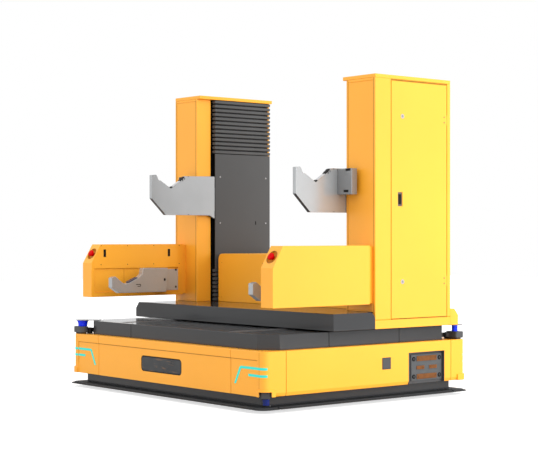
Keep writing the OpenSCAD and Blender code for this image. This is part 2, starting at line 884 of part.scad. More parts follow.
// An upper scanner's housing on its foot, with its bracket to the deck
module upper_housing(size, r, shift, inset) {
  translate([shift, 0, 0]) {
    linear_extrude(scan_foot + eps) round_rect(size[0] - 2 * foot_in, size[1] - 2 * foot_in, r / 2);
    translate([0, 0, scan_foot]) linear_extrude(scan_h) round_rect(size[0], size[1], r);
  }
  rotate(45) translate([-chamfer_gap(inset), -scan_bracket[0] / 2, scan_foot + scan_bracket[2]])
    cube([chamfer_gap(inset), scan_bracket[0], scan_bracket[1]]);
}

module scanner_housings() {
  half = low_scan_w / 2;
  color("dimgray") {
    front_scanner_place() upper_housing(front_scan, scan_r, scan_shift, scan_inset);
    rear_scanner_place() upper_housing(rear_scan, foot_in, 0, rear_scan_inset);
    low_scanner_places()
      block([-half, -half, frame_z - low_scan_h], [half, half, frame_z]);
  }
}

module scanner_windows() {
  dome_h = deck_h - scan_top;
  color("mediumblue") {
    front_scanner_place() translate([0, 0, scan_top])
      rotate_extrude() polygon([[0, 0], [dome_d_low / 2, 0], [dome_d_top / 2, dome_h], [0, dome_h]]);
    rear_scanner_place() translate([0, 0, scan_top]) cylinder(d = rear_dome_d, h = dome_h);
    low_scanner_places() translate([0, 0, frame_z - low_scan_h - low_dome_h])
      cylinder(d = low_dome_d, h = low_dome_h);
  }
}

// A guard plate over a scanner, from its axis to the deck's chamfer along the corner's diagonal
module guard(inset) {
  reach = chamfer_gap(inset) + guard_seat;
  translate([0, 0, deck_h]) linear_extrude(guard_t) {
    circle(d = guard_d);
    rotate(45) translate([-reach, -guard_w / 2]) square([reach, guard_w]);
  }
}

module scanner_guards() {
  color("gray") {
    front_scanner_place() guard(scan_inset);
    rear_scanner_place() guard(rear_scan_inset);
  }
}

// ---- Wheels ----

// A fork for a wheel with its axle along Y, turning about Z at the origin of its place
module fork(wheel_d, wheel_w, axle_d, trail, well_z, cheek_l, plate_d) {
  in_y = wheel_w / 2 + cheek_gap;
  out_y = in_y + cheek_t;
  bridge_z = wheel_d + bridge_gap;
  translate([0, 0, bridge_z]) cylinder(d = plate_d, h = well_z - run_gap - bridge_z);
  for (y = [-out_y, in_y])
    side_plate(y, y + cheek_t,
      [[-trail - cheek_l / 2, wheel_d / 2 - cheek_l / 2],
       [-trail + cheek_l / 2, wheel_d / 2 - cheek_l / 2],
       [cheek_l, bridge_z + eps], [-cheek_l, bridge_z + eps]]);
  translate([-trail, 0, wheel_d / 2]) rotate([90, 0, 0])
    cylinder(d = axle_d, h = 2 * out_y, center = true);
}

// A wheel on its axle, standing on the floor
module wheel(wheel_d, wheel_w, axle_d, trail, tread_t) {
  bore = axle_d / 2 + run_gap;
  rim = wheel_d / 2 - tread_t;
  half = wheel_w / 2;
  web = half - web_in;
  // The web's side between hub and rim, on one side of the wheel
  profile = [[bore, half], [axle_d, half], [axle_d + web_in, web], [rim - web_in, web], [rim, half],
             [wheel_d / 2 - tread_edge, half], [wheel_d / 2, half - tread_edge]];
  translate([-trail, 0, wheel_d / 2]) rotate([90, 0, 0]) rotate_extrude()
    polygon(concat(profile, [for (i = [len(profile) - 1 : -1 : 0]) [profile[i][0], -profile[i][1]]]));
}

module steer_fork(end) {
  color("gray") translate([end * drive_x, 0, 0])
    fork(drive_d, drive_w, drive_axle_d, 0, drive_well_z, drive_cheek_l, drive_plate_d);
}

module drive_wheel(end) {
  color("sienna") translate([end * drive_x, 0, 0])
    wheel(drive_d, drive_w, drive_axle_d, 0, drive_tread_t);
}

module caster_fork(end, side) {
  color("gray") translate([end * caster_x, side * caster_y, 0])
    fork(caster_d, caster_w, caster_axle_d, caster_trail, caster_well_z,
         caster_cheek_l, caster_plate_d);
}

module caster_wheel(end, side) {
  color("dimgray") translate([end * caster_x, side * caster_y, 0])
    wheel(caster_d, caster_w, caster_axle_d, caster_trail, caster_tread_t);
}

// ---- Platform ----

// The platform's front part is as wide as the columns, its rear part fits between their walls
module platform() {
  half = platform_y;
  cut = platform_chamfer;
  color("dimgray") {
    difference() {
      union() {
        rotate([90, 0, 90]) translate([0, 0, col_x1])
          linear_extrude(platform_x1 - col_x1)
            polygon([[-half, platform_z], [half, platform_z], [half, platform_top],
                     [-half + cut[0], platform_top], [-half, platform_top - cut[1]]]);
        block([col_x0, -platform_rear_y, platform_z], [col_x1 + eps, platform_rear_y, platform_top]);
      }
      for (side = [-1, 1]) on_side(side) step_round();
    }
    for (side = [-1, 1])
      translate([(col_x0 + platform_x1) / 2, side * rail_y, (deck_top + run_gap + platform_z) / 2])
        cube([platform_x1 - col_x0 - rail_w, rail_w, platform_gap - run_gap], center = true);
  }
}

// The rounded upper edge where the platform's side meets the column, as a piece to cut away
module step_round() {
  depth = platform_y - platform_rear_y + eps;
  translate([col_x1, platform_rear_y, platform_top - platform_r]) difference() {
    translate([-eps, 0, 0]) cube([platform_r + eps, depth, platform_r + eps]);
    translate([platform_r, 0, 0]) rotate([90, 0, 0])
      cylinder(r = platform_r, h = 3 * depth, center = true);
  }
}

module rear_beam() {
  cut = rear_beam_chamfer;
  x0 = col_x0 - rear_beam_l;
  color("orange") side_plate(-col_y1, col_y1,
    [[x0, platform_z], [col_x0, platform_z], [col_x0, platform_top],
     [x0 + cut[0], platform_top], [x0, platform_top - cut[1]]]);
}

module middle_cabinet() {
  half = cabinet_y;
  top = platform_top + cabinet_h;
  color("orange") rotate([90, 0, 90]) translate([0, 0, col_x0])
    linear_extrude(cabinet_x1 - col_x0) {
      translate([-half, platform_top]) square([2 * half, cabinet_h - cabinet_r]);
      translate([-half + cabinet_r, platform_top]) square([2 * (half - cabinet_r), cabinet_h]);
      for (s = [-1, 1]) translate([s * (half - cabinet_r), top - cabinet_r]) circle(cabinet_r);
    }
}

// ---- Columns ----

// A column's painted shell: walls at the front, rear and outside, and flanges inside
module column() {
  difference() {
    union() {
      block([col_x0, col_y0, platform_top], [col_x1, col_y1, cap_z]);
      block([col_x0, platform_rear_y, platform_z], [col_x1, col_y1, platform_top + eps]);
    }
    // The space inside, open towards the bellows
    block([open_x0, col_y0 + column_t, platform_top],
          [col_x1 - column_t, col_y1 - column_t, cap_z + eps]);
    block([open_x0, col_y0 - eps, platform_top], [open_x1, col_y0 + column_t + eps, cap_z + eps]);
    // The doorway
    block([door_x0 - door_gap, platform_rear_y - eps, door_z - door_gap],
          [door_x1 + door_gap, col_y1 + eps, cap_z + eps]);
    // The seam over the plinth
    block([col_x0 - eps, col_y1 - seam_d, door_z - door_gap],
          [col_x1 + eps, col_y1 + eps, door_z - door_gap + seam]);
    // The field in the front face
    block([col_x1 - front_field, col_y0 + front_edge, platform_top + front_edge],
          [col_x1 + eps, col_y1 - front_edge, cap_z - front_edge]);
  }
}

module column_caps() {
  color("gold") for (side = [-1, 1]) on_side(side)
    block([col_x0, cap_y0, cap_z], [col_x1, col_y1, column_top]);
}

// The partition inside a column with the two rails of its lift
module mast() {
  block([open_x0, mast_y0, platform_top], [col_x1 - column_t, mast_y1, cap_z]);
  for (s = [-1, 1])
    block([col_mid_x + s * mast_rail_x - mast_rail_w / 2, mast_y0 - mast_rail_h, platform_top],
          [col_mid_x + s * mast_rail_x + mast_rail_w / 2, mast_y0 + eps, cap_z]);
}

module masts() {
  color("silver") for (side = [-1, 1]) on_side(side) mast();
}

// A door in the outer face, with the recess of its handle and the pins it turns on
module door() {
  x = door_x1 - handle_x;
  for (z = [door_z + hinge_end, door_z1 - hinge_end]) translate([hinge_x, col_y1, z]) {
    cylinder(d = hinge_d, h = hinge_l, center = true);
    translate([0, -hinge_d / 2, -hinge_l / 2]) cube([door_x0 - hinge_x + eps, hinge_d / 2, hinge_l]);
  }
  difference() {
    block([door_x0, door_y0, door_z], [door_x1, col_y1, door_z1]);
    block([x - handle_w / 2, col_y1 - handle_d, handle_z - handle_h / 2],
          [x + handle_w / 2, col_y1 + eps, handle_z + handle_h / 2]);
  }
}

// ---- Lift ----

// The dark cover over the lift opening with the carriage behind it
module lift_cover() {
  rail_face = carriage_y0 + carriage_t;
  x0 = cover_x0 + carriage_in;
  x1 = cover_x1 - carriage_in;
  z0 = carriage_z - carriage_h / 2;
  z1 = carriage_z + carriage_h / 2;
  block([cover_x0, cover_y0, cover_z0], [cover_x1, cover_y0 + cover_t, cover_z1]);
  block([x0, carriage_y0, z0], [x1, rail_face, z1]);
  for (z = [z0 + bar_in, z1 - bar_in])
    block([x0, cover_y0 + cover_t - eps, z - bar_h / 2],
          [x0 + carriage_in, carriage_y0 + eps, z + bar_h / 2]);
}

// A pleated bellows from z0 to z1
module bellows(z0, z1, folds) {
  pitch = (z1 - z0) / folds;
  back = fold_d + bellows_back;
  translate([cover_x0, cover_y0, 0]) rotate([90, 0, 90]) linear_extrude(cover_x1 - cover_x0)
    polygon(concat(
      [[back, z0], [back, z1]],
      [for (i = [folds : -1 : 1]) each
        [[fold_d, z0 + i * pitch], [0, z0 + (i - 0.5) * pitch]]],
      [[fold_d, z0]]));
}

// The upper hook: a long plate with a V near its nose, and a tongue into the carriage
module upper_hook() {
  rear = cover_x1 + hook_rear;
  nose = vee_x + nose_l;
  side_plate(cap_y0, cap_y0 + hook_t, concat(
    [[rear, hook_low - hook_heel[1]], [rear + hook_heel[0], hook_low], [nose - hook_chin[0], hook_low],
     [nose, hook_low + hook_chin[1]]],
    [for (p = HOOK_NOSE) [nose - p[0], hook_top - p[1]]],
    [for (p = HOOK_VEE) [vee_x + p[0], hook_top - vee_d + p[1]]],
    [[rear, hook_top]]));
  block([rear - tongue_l, tongue_y0, carriage_z - carriage_h / 4],
        [rear + eps, tongue_y1, carriage_z + carriage_h / 4]);
}

// The sensor box on the outer side of the upper hook
module hook_sensor() {
  x0 = col_x1 + sensor_x;
  y0 = cap_y0 + hook_t;
  z1 = hook_top - sensor_drop;
  z0 = z1 - sensor_h;
  color("lightgray") difference() {
    block([x0, y0, z0], [x0 + sensor_l, y0 + sensor_w, z1]);
    for (z = [z1 - sensor_slot_end, z0 + sensor_slot_end])
      translate([x0 + sensor_l, y0 + sensor_w / 2, z])
        cube([2 * sensor_slot[0], sensor_slot[1], sensor_slot[2]], center = true);
  }
}

// ---- Arms ----

// An arm with the slideway's recess in its inner face and its rear mounting flange
module arm() {
  in = arm_flange_in;
  front = arm_l;
  cut = arm_chamfer;
  difference() {
    union() {
      side_plate(arm_y0, arm_y1,
        [[0, arm_z], [front, arm_z], [front, arm_top - cut[1]], [front - cut[0], arm_top],
         [0, arm_top]]);
      block([col_x1 - front_field, arm_y0 + in, arm_z + in], [eps, arm_y1 - in, arm_top - in]);
    }
    block([slot_x0, arm_y0 - eps, slot_z0], [slot_x1, slot_y1, slot_z1]);
    for (x = [vent_x[0], front - vent_x[1]])
      block([x - vent_w / 2, arm_y0 - eps, arm_top - vent_drop],
            [x + vent_w / 2, arm_y0 + vent_d, arm_top - vent_drop + vent_h]);
    stop_place() translate([0, 0, -stop_dish_h]) cylinder(d = stop_dish_d, h = stop_dish_h + arm_w);
  }
  // The rail in the recess
  block([slot_x0, slot_y1 - slot_rail[1], rail_z - slot_rail[0] / 2],
        [slot_x1, slot_y1 + eps, rail_z + slot_rail[0] / 2]);
}

// The emergency stop's place: on the middle of the arm's front chamfer, +Z out of the chamfer
module stop_place() {
  cut = arm_chamfer;
  tilt = atan2(cut[1], cut[0]);
  translate([arm_l - cut[0] / 2, (arm_y0 + arm_y1) / 2, arm_top - cut[1] / 2])
    rotate([0, tilt, 0]) children();
}

module stop_collars() {
  color("gold") for (side = [-1, 1]) on_side(side) stop_place()
    translate([0, 0, -stop_dish_h]) cylinder(d = stop_dish_d - 2 * run_gap, h = stop_collar_h);
}

module stop_buttons() {
  stem_h = stop_dish_h - stop_collar_h + stop_lift;
  color("red") for (side = [-1, 1]) on_side(side) stop_place()
    translate([0, 0, stop_collar_h - stop_dish_h]) {
      cylinder(d = stop_stem_d, h = stem_h);
      translate([0, 0, stem_h]) cylinder(d = stop_d, h = stop_h);
    }
}

// ---- Lower hooks ----

// A lower hook: a tapering plate with a round cradle, and the block that runs in the arm
module lower_hook() {
  x1 = low_hook_x + block_lap;
  block_z1 = block_z0 + block_h;
  groove = slot_rail[0] / 2 + run_gap;
  side_plate(low_hook_y0, low_hook_y1, concat(
    [for (p = LOW_HOOK_REAR) [low_hook_x + p[0], low_hook_z + low_hook_h - p[1]]],
    [for (p = CRADLE) [cradle_x + p[0], low_hook_z + cradle_h + p[1]]],
    [[cradle_x + low_hook_toe, low_hook_z], [low_hook_x + low_hook_heel, low_hook_z]]));
  difference() {
    block([block_x0, low_hook_y1 - eps, block_z0], [x1, slot_y1 - run_gap, block_z1]);
    block([block_x0 - eps, slot_y1 - slot_rail[1] - run_gap, rail_z - groove],
          [x1 + eps, slot_y1, rail_z + groove]);
    block([low_hook_x, low_hook_y1 + block_lap_d, block_z0 - eps],
          [x1 + eps, slot_y1 + eps, block_z1 + eps]);
  }
}

// ---- Assembly ----

chassis_frame();
front_panel();
rear_panel();
side_panels();
corner_posts();
deck();
apron();
contact_strips();
window_panels();
light_strips();
charging_plate();
charging_pads();
service_socket();
scanner_housings();
scanner_windows();
scanner_guards();
deck_rails();
steer_fork(1);  // steer_fork_front
steer_fork(-1);  // steer_fork_rear
drive_wheel(1);  // drive_wheel_front
drive_wheel(-1);  // drive_wheel_rear
caster_fork(1, 1);  // caster_fork_front_left
caster_fork(1, -1);  // caster_fork_front_right
caster_fork(-1, 1);  // caster_fork_rear_left
caster_fork(-1, -1);  // caster_fork_rear_right
caster_wheel(1, 1);  // caster_wheel_front_left
caster_wheel(1, -1);  // caster_wheel_front_right
caster_wheel(-1, 1);  // caster_wheel_rear_left
caster_wheel(-1, -1);  // caster_wheel_rear_right
platform();
rear_beam();
middle_cabinet();
color("gold") column();  // column_left
color("orange") on_side(-1) column();  // column_right
column_caps();
masts();
color("gold") arm();  // arm_left
color("orange") on_side(-1) arm();  // arm_right
stop_collars();
stop_buttons();
color("dimgray") lift_cover();  // lift_cover_left
color("dimgray") on_side(-1) lift_cover();  // lift_cover_right
color("silver") upper_hook();  // upper_hook_left
color("silver") on_side(-1) upper_hook();  // upper_hook_right
hook_sensor();  // hook_sensor_left
on_side(-1) hook_sensor();  // hook_sensor_right
color("gray") bellows(cover_z1, cap_z, folds_high);  // bellows_high_left
color("gray") on_side(-1) bellows(cover_z1, cap_z, folds_high);  // bellows_high_right
color("gray") bellows(platform_top, cover_z0, folds_low);  // bellows_low_left
color("gray") on_side(-1) bellows(platform_top, cover_z0, folds_low);  // bellows_low_right
color("silver") lower_hook();  // lower_hook_left
color("silver") on_side(-1) lower_hook();  // lower_hook_right
color("gold") door();  // door_left
color("gold") on_side(-1) door();  // door_right
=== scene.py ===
"""Automated guided vehicle with two lift columns: its looks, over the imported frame."""
import json
import math
from collections import namedtuple
from contextlib import contextmanager

import bmesh
import bpy
from mathutils import Matrix, Vector
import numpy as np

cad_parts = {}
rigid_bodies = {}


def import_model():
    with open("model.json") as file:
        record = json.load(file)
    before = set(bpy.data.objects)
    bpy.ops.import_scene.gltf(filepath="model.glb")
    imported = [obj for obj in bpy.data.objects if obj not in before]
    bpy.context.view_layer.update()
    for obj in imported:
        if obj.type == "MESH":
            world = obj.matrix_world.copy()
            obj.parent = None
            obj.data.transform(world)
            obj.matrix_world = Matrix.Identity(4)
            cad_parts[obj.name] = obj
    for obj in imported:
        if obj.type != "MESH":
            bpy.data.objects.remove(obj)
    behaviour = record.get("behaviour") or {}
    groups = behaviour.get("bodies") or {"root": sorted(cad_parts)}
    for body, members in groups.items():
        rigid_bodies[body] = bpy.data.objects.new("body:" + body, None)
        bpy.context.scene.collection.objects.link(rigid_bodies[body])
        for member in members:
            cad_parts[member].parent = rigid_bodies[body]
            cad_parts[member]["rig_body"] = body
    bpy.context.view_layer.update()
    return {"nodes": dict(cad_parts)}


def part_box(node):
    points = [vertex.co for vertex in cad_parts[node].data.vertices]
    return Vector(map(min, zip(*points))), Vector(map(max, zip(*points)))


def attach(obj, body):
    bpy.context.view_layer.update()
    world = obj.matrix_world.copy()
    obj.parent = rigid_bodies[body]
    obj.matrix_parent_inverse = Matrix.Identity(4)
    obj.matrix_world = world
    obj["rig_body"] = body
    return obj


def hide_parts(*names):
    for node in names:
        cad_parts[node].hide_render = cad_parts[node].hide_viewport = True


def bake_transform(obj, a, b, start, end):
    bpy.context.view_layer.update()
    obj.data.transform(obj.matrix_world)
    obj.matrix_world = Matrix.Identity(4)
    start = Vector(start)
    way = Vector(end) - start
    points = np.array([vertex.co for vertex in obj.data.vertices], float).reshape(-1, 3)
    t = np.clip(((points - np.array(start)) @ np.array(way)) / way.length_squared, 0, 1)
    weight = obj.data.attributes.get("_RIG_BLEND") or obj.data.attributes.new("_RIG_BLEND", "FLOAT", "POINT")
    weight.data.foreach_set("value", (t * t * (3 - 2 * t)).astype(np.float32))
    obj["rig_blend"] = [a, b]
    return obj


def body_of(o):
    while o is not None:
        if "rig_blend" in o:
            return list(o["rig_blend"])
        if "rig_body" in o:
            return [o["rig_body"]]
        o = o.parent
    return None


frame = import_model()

bl_info = {
    "name": "Guided vehicle looks",
    "version": (1, 0, 0),
    "blender": (4, 5, 0),
    "location": "3D View > Sidebar > Vehicle",
    "description": "Builds the finished pieces of a guided vehicle with two lift columns",
    "category": "Add Mesh",
}

SIDES = {"left": 1, "right": -1}
ENDS = {"front": 1, "rear": -1}
UP = (0, 0, 1)


# ---- Values a user may change ----


def _colour(label, value):
    return bpy.props.FloatVectorProperty(name=label, description="Colour of the " + label.lower(),
                                         subtype="COLOR", size=3, min=0, max=1, default=value)


def _length(label, note, value, top=1.0):
    return bpy.props.FloatProperty(name=label, description=note, unit="LENGTH", min=0, max=top,
                                   default=value)


def _strength(label, note, value):
    return bpy.props.FloatProperty(name=label, description=note, min=0, default=value)


def _count(label, note, value, low, high):
    return bpy.props.IntProperty(name=label, description=note, min=low, max=high, default=value)


class VehicleColours(bpy.types.PropertyGroup):
    paint: _colour("Body paint", (0.95, 0.405, 0.026))
    dark: _colour("Dark paint", (0.033, 0.034, 0.036))
    frame: _colour("Frame steel", (0.07, 0.07, 0.073))
    cover: _colour("Lift cover", (0.072, 0.073, 0.074))
    bellows: _colour("Bellows", (0.072, 0.073, 0.074))
    hook: _colour("Hook steel", (0.43, 0.445, 0.455))
    bright: _colour("Bright steel", (0.62, 0.62, 0.63))
    box: _colour("Sensor box", (0.27, 0.275, 0.28))
    dome: _colour("Scanner window", (0.006, 0.030, 0.90))
    # the scanner window's blue darkened for the lower scanners: painted shade
    low_dome_shade: _colour("Lower scanner window", (0.002, 0.012, 0.13))
    red: _colour("Stop button", (0.60, 0.001, 0.003))
    light: _colour("Light strip", (0.03, 0.87, 0.72))
    copper: _colour("Contact pads", (0.20, 0.072, 0.017))
    plate: _colour("Charging plate", (0.066, 0.070, 0.073))
    glass: _colour("Window", (0.028, 0.030, 0.032))
    rubber: _colour("Contact strips", (0.022, 0.023, 0.025))
    tyre: _colour("Drive tread", (0.33, 0.09, 0.03))
    # the body paint darkened: painted shade in the door's gaps, grooves and seams
    gap: _colour("Gaps", (0.38, 0.18, 0.025))
    handle: _colour("Handle", (0.11, 0.085, 0.075))
    pad: _colour("Cradle pad", (0.045, 0.055, 0.095))


class VehicleSizes(bpy.types.PropertyGroup):
    edge: _length("Sheet edge", "Rounding of the painted sheet's edges", 0.0022, 0.01)
    plate_edge: _length("Plate edge", "Rounding of cut plates and blocks", 0.0012, 0.01)
    small_screw: _length("Small screw head", "Radius of a small screw's head", 0.0045, 0.02)
    fold: _length("Fold depth", "Depth of the bellows' folds", 0.022, 0.03)
    notch: _length("Fold notch", "How far the grooves' ends stand back from the folds' ends",
                   0.022, 0.04)
    sheet: _length("Bellows sheet", "Thickness of the bellows' sheet", 0.0016, 0.004)
    high_folds: _count("Upper folds", "Folds in an upper bellows", 13, 4, 30)
    low_folds: _count("Lower folds", "Folds in a lower bellows", 8, 3, 20)


class VehicleStage(bpy.types.PropertyGroup):
    floor: _length("Floor", "Side of the floor", 40.0, 100.0)
    key: _strength("Side lamp", "Strength of the lamp on the left side", 160.0)
    far: _strength("Far lamp", "Strength of the far lamp", 0.56)
    sky: _strength("Surroundings", "Light from all round", 1.37)


def colours():
    return bpy.context.scene.vehicle_colours


def sizes():
    return bpy.context.scene.vehicle_sizes


# ---- Finishes ----


class Nodes:
    """A material's node tree, with a short way to add and join nodes."""

    def __init__(self, name):
        self.material = bpy.data.materials.new(name)
        self.material.use_nodes = True
        self.tree = self.material.node_tree
        self.shader = self.tree.nodes["Principled BSDF"]
        self.coords = self.add("ShaderNodeTexCoord").outputs["Object"]

    def add(self, kind, **values):
        node = self.tree.nodes.new(kind)
        for key, value in values.items():
            if hasattr(node, key):
                setattr(node, key, value)
            else:
                node.inputs[key.replace("_", " ")].default_value = value
        return node

    def join(self, source, target):
        self.tree.links.new(source, target)

    def noise(self, scale, detail=3.0, stretch=(1, 1, 1)):
        place = self.add("ShaderNodeMapping")
        place.inputs["Scale"].default_value = stretch
        self.join(self.coords, place.inputs["Vector"])
        noise = self.add("ShaderNodeTexNoise", Scale=scale, Detail=detail)
        self.join(place.outputs["Vector"], noise.inputs["Vector"])
        return noise.outputs["Fac"]

    def spread(self, source, low, high, begin=0.3, end=0.7):
        node = self.add("ShaderNodeMapRange", From_Min=begin, From_Max=end, To_Min=low, To_Max=high)
        self.join(source, node.inputs["Value"])
        return node.outputs["Result"]

    def blend(self, factor, first, second):
        node = self.add("ShaderNodeMix", data_type="RGBA")
        self.join(factor, node.inputs["Factor"])
        for socket, value in ((node.inputs[6], first), (node.inputs[7], second)):
            if isinstance(value, bpy.types.NodeSocket):
                self.join(value, socket)
            else:
                socket.default_value = (*value, 1)
        return node.outputs[2]

    def bump(self, source, strength, distance):
        node = self.add("ShaderNodeBump", Strength=strength, Distance=distance)
        self.join(source, node.inputs["Height"])
        self.join(node.outputs["Normal"], self.shader.inputs["Normal"])


# A look names the part's slot that it stands for, its material, its roughness, its mottle as
# (scale, change of tone) and its grain as (scale, strength, depth). Metal, the shader's specular
# level and the grain's stretch may follow. Its colour is the user's of the same name, or its own.
Look = namedtuple("Look", "slot name rough mottle grain metal level stretch colour",
                  defaults=(0.0, None, (1, 1, 1), None))
LOOKS = {
    "paint": Look("yellow_paint", "body_paint", 0.38, (2.2, 0.025), (900, 0.05, 1e-4), level=0.5),
    "dark": Look("dark_paint", "dark_paint", 0.13, (1.7, 0.06), (1100, 0.03, 1e-4)),
    "cover": Look("dark_paint", "cover_paint", 0.42, (2.0, 0.04), (900, 0.06, 1e-4), level=0.3),
    "frame": Look("frame_steel", "frame_paint", 0.55, (5.0, 0.12), (500, 0.12, 2e-4)),
    "hook": Look("hook_steel", "hook_steel", 0.22, (6.0, 0.04), (260, 0.05, 1e-4), 0.45,
                 stretch=(0.15, 1, 1)),
    "bright": Look("rail_steel", "bright_steel", 0.30, (20, 0.06), (500, 0.08, 1e-4), 0.85,
                   stretch=(1, 1, 0.1)),
    # the masts are near black: painted shade of the columns' inside, seen through the openings
    "mast": Look("rail_steel", "mast_steel", 0.55, (5.0, 0.12), (500, 0.12, 2e-4), level=0.15,
                 colour=(0.010, 0.010, 0.0105)),
    "box": Look("hook_steel", "box_steel", 0.24, (9.0, 0.04), (900, 0.05, 1e-4), 0.45),
    "black": Look("socket_plastic", "black_plastic", 0.5, (8.0, 0.1), (1300, 0.15, 1e-4),
                  level=0.15, colour=(0.008, 0.008, 0.0085)),
    "housing": Look("dark_paint", "housing_plastic", 0.5, (9.0, 0.06), (1400, 0.2, 1e-4),
                    colour=(0.055, 0.055, 0.058)),
    "dome": Look("scanner_blue", "scanner_window", 0.15, (14, 0.08), (700, 0.02, 1e-4), level=0.3),
    # the lower windows, darkened: painted shade
    "low_dome_shade": Look("scanner_blue", "low_scanner_window", 0.15, (14, 0.08), (700, 0.02, 1e-4),
                     level=0.3),
    "red": Look("stop_red", "stop_plastic", 0.5, (30, 0.05), (1500, 0.06, 1e-4), level=0.05),
    # the stop's dish is the body paint darkened: painted shade in the deep dish
    "collar": Look("yellow_paint", "collar_plastic", 0.4, (20, 0.04), (1500, 0.08, 1e-4),
                   level=0.15, colour=(0.60, 0.215, 0.01)),
    "light": Look("light_plastic", "light_strip", 0.3, (60, 0.04), (900, 0.05, 1e-4)),
    "copper": Look("copper", "copper", 0.42, (38, 0.16), (420, 0.2, 1e-4), 0.5,
                   stretch=(0.08, 1, 1)),
    "plate": Look("dark_paint", "plate_plastic", 0.5, (25, 0.06), (1200, 0.15, 1e-4)),
    "glass": Look("window_glass", "window_glass", 0.10, (12, 0.25), (60, 0.015, 2e-4),
                  stretch=(1, 0.25, 2.0)),
    "rubber": Look("bumper_rubber", "strip_rubber", 0.62, (7.0, 0.12), (700, 0.3, 2e-4)),
    "tyre": Look("drive_tyre", "drive_tread", 0.6, (16, 0.14), (420, 0.3, 3e-4)),
    # a darkened copy of the body paint, for painted shade in gaps and grooves
    "gap": Look("yellow_paint", "gap_paint", 0.6, (20, 0.08), (900, 0.08, 1e-4), level=0.2),
    "handle": Look("socket_plastic", "handle_plastic", 0.5, (30, 0.08), (1200, 0.1, 1e-4)),
    "pad": Look("socket_plastic", "pad_plastic", 0.35, (30, 0.08), (1200, 0.1, 1e-4)),
    "socket": Look("socket_plastic", "socket_plastic", 0.5, (18, 0.08), (1200, 0.2, 1e-4),
                   colour=(0.045, 0.046, 0.048)),
    "bellows": Look("bellows_fabric", "bellows_fabric", 0.7, (5.0, 0.08), (900, 0.15, 2e-4)),
}
REFLECTION_STREAK = (0.16, 0.085, 0.045)  # colour of the warm stripes in the dark windows: painted reflections of the orange paint
GLOW = 0.45                    # strength of the lit strips
GLOW_BASE = 0.4                # share of the lit strips' colour that their surface has


def shade(colour, factor):
    return tuple(min(1.0, c * factor) for c in colour)


def toned(n, slow, colour, change):
    """Joins a slow change of tone about a colour to the shader."""
    tone = n.blend(n.spread(slow, 0.0, 1.0), shade(colour, 1 - change), shade(colour, 1 + change))
    n.join(tone, n.shader.inputs["Base Color"])
    return tone


def surface(look, colour):
    """A finish with a slow change of tone, a change of gloss and a fine relief."""
    n = Nodes(look.name)
    toned(n, n.noise(look.mottle[0], 4.0), colour, look.mottle[1])
    fine = n.noise(look.grain[0], 2.0, look.stretch)
    gloss = n.spread(fine, look.rough * 0.85, min(1.0, look.rough * 1.15))
    n.join(gloss, n.shader.inputs["Roughness"])
    n.bump(fine, look.grain[1], look.grain[2])
    n.shader.inputs["Metallic"].default_value = look.metal
    if look.level is not None:
        n.shader.inputs["Specular IOR Level"].default_value = look.level
    return n


def lit(look, colour):
    """A finish that gives light of its own."""
    n = surface(look, shade(colour, GLOW_BASE))
    n.shader.inputs["Emission Color"].default_value = (*colour, 1)
    n.shader.inputs["Emission Strength"].default_value = GLOW
    return n


def glazed(look, colour):
    """Dark glass with a few faint warm stripes along it: painted reflections of the orange paint."""
    n = surface(look, colour)
    # warm stripes blended into the glass's colour: painted reflections
    painted_reflections = n.spread(n.noise(7.0, 2.0, (1, 1.2, 9.0)), 0.0, 1.0, 0.58, 0.74)
    plain = n.shader.inputs["Base Color"].links[0].from_socket
    n.join(n.blend(painted_reflections, plain, REFLECTION_STREAK), n.shader.inputs["Base Color"])
    return n


def woven(look, colour):
    """Coated fabric with a fine weave."""
    n = Nodes(look.name)
    weave = n.add("ShaderNodeTexChecker", Scale=look.grain[0])
    n.join(n.coords, weave.inputs["Vector"])
    toned(n, n.noise(look.mottle[0], 3.0), colour, look.mottle[1])
    gloss = n.spread(n.noise(600.0), look.rough - 0.08, look.rough + 0.08)
    n.join(gloss, n.shader.inputs["Roughness"])
    n.bump(weave.outputs["Fac"], look.grain[1], look.grain[2])
    return n


MAKERS = {"light": lit, "glass": glazed, "bellows": woven}
made = {}


def finish(name):
    """The material of a look, made once."""
    if name not in made:
        look = LOOKS[name]
        colour = look.colour or getattr(colours(), name)
        made[name] = MAKERS.get(name, surface)(look, colour).material
    return made[name]


# ---- Meshes ----

WELD = 2e-5        # corners of a node nearer than this are one
FLAT = 0.4         # degrees between faces of a node that are one plain face
SHARP = 30         # degrees over which an edge stays sharp
SCREW_SHARP = 35   # the same on a screw head
FOLD_SHARP = 50    # and on a folded sheet
BEVELLED = 32      # degrees over which an edge is rounded
NEAR = 3e-4        # how exactly a corner has to lie in a plane


def put(name, data):
    """A new object in the scene."""
    item = bpy.data.objects.new(name, data)
    bpy.context.scene.collection.objects.link(item)
    return item


@contextmanager
def edited(mesh):
    """The mesh opened for edits and written back."""
    bm = bmesh.new()
    bm.from_mesh(mesh)
    yield bm
    bm.to_mesh(mesh)
    bm.free()


def smooth(mesh, angle=SHARP):
    """Smooth faces, with the edges over an angle left sharp."""
    mesh.polygons.foreach_set("use_smooth", [True] * len(mesh.polygons))
    mesh.set_sharp_from_angle(angle=math.radians(angle))


def bake(item):
    """An object's live modifiers as a plain mesh."""
    graph = bpy.context.evaluated_depsgraph_get()
    graph.update()
    return bpy.data.meshes.new_from_object(item.evaluated_get(graph))


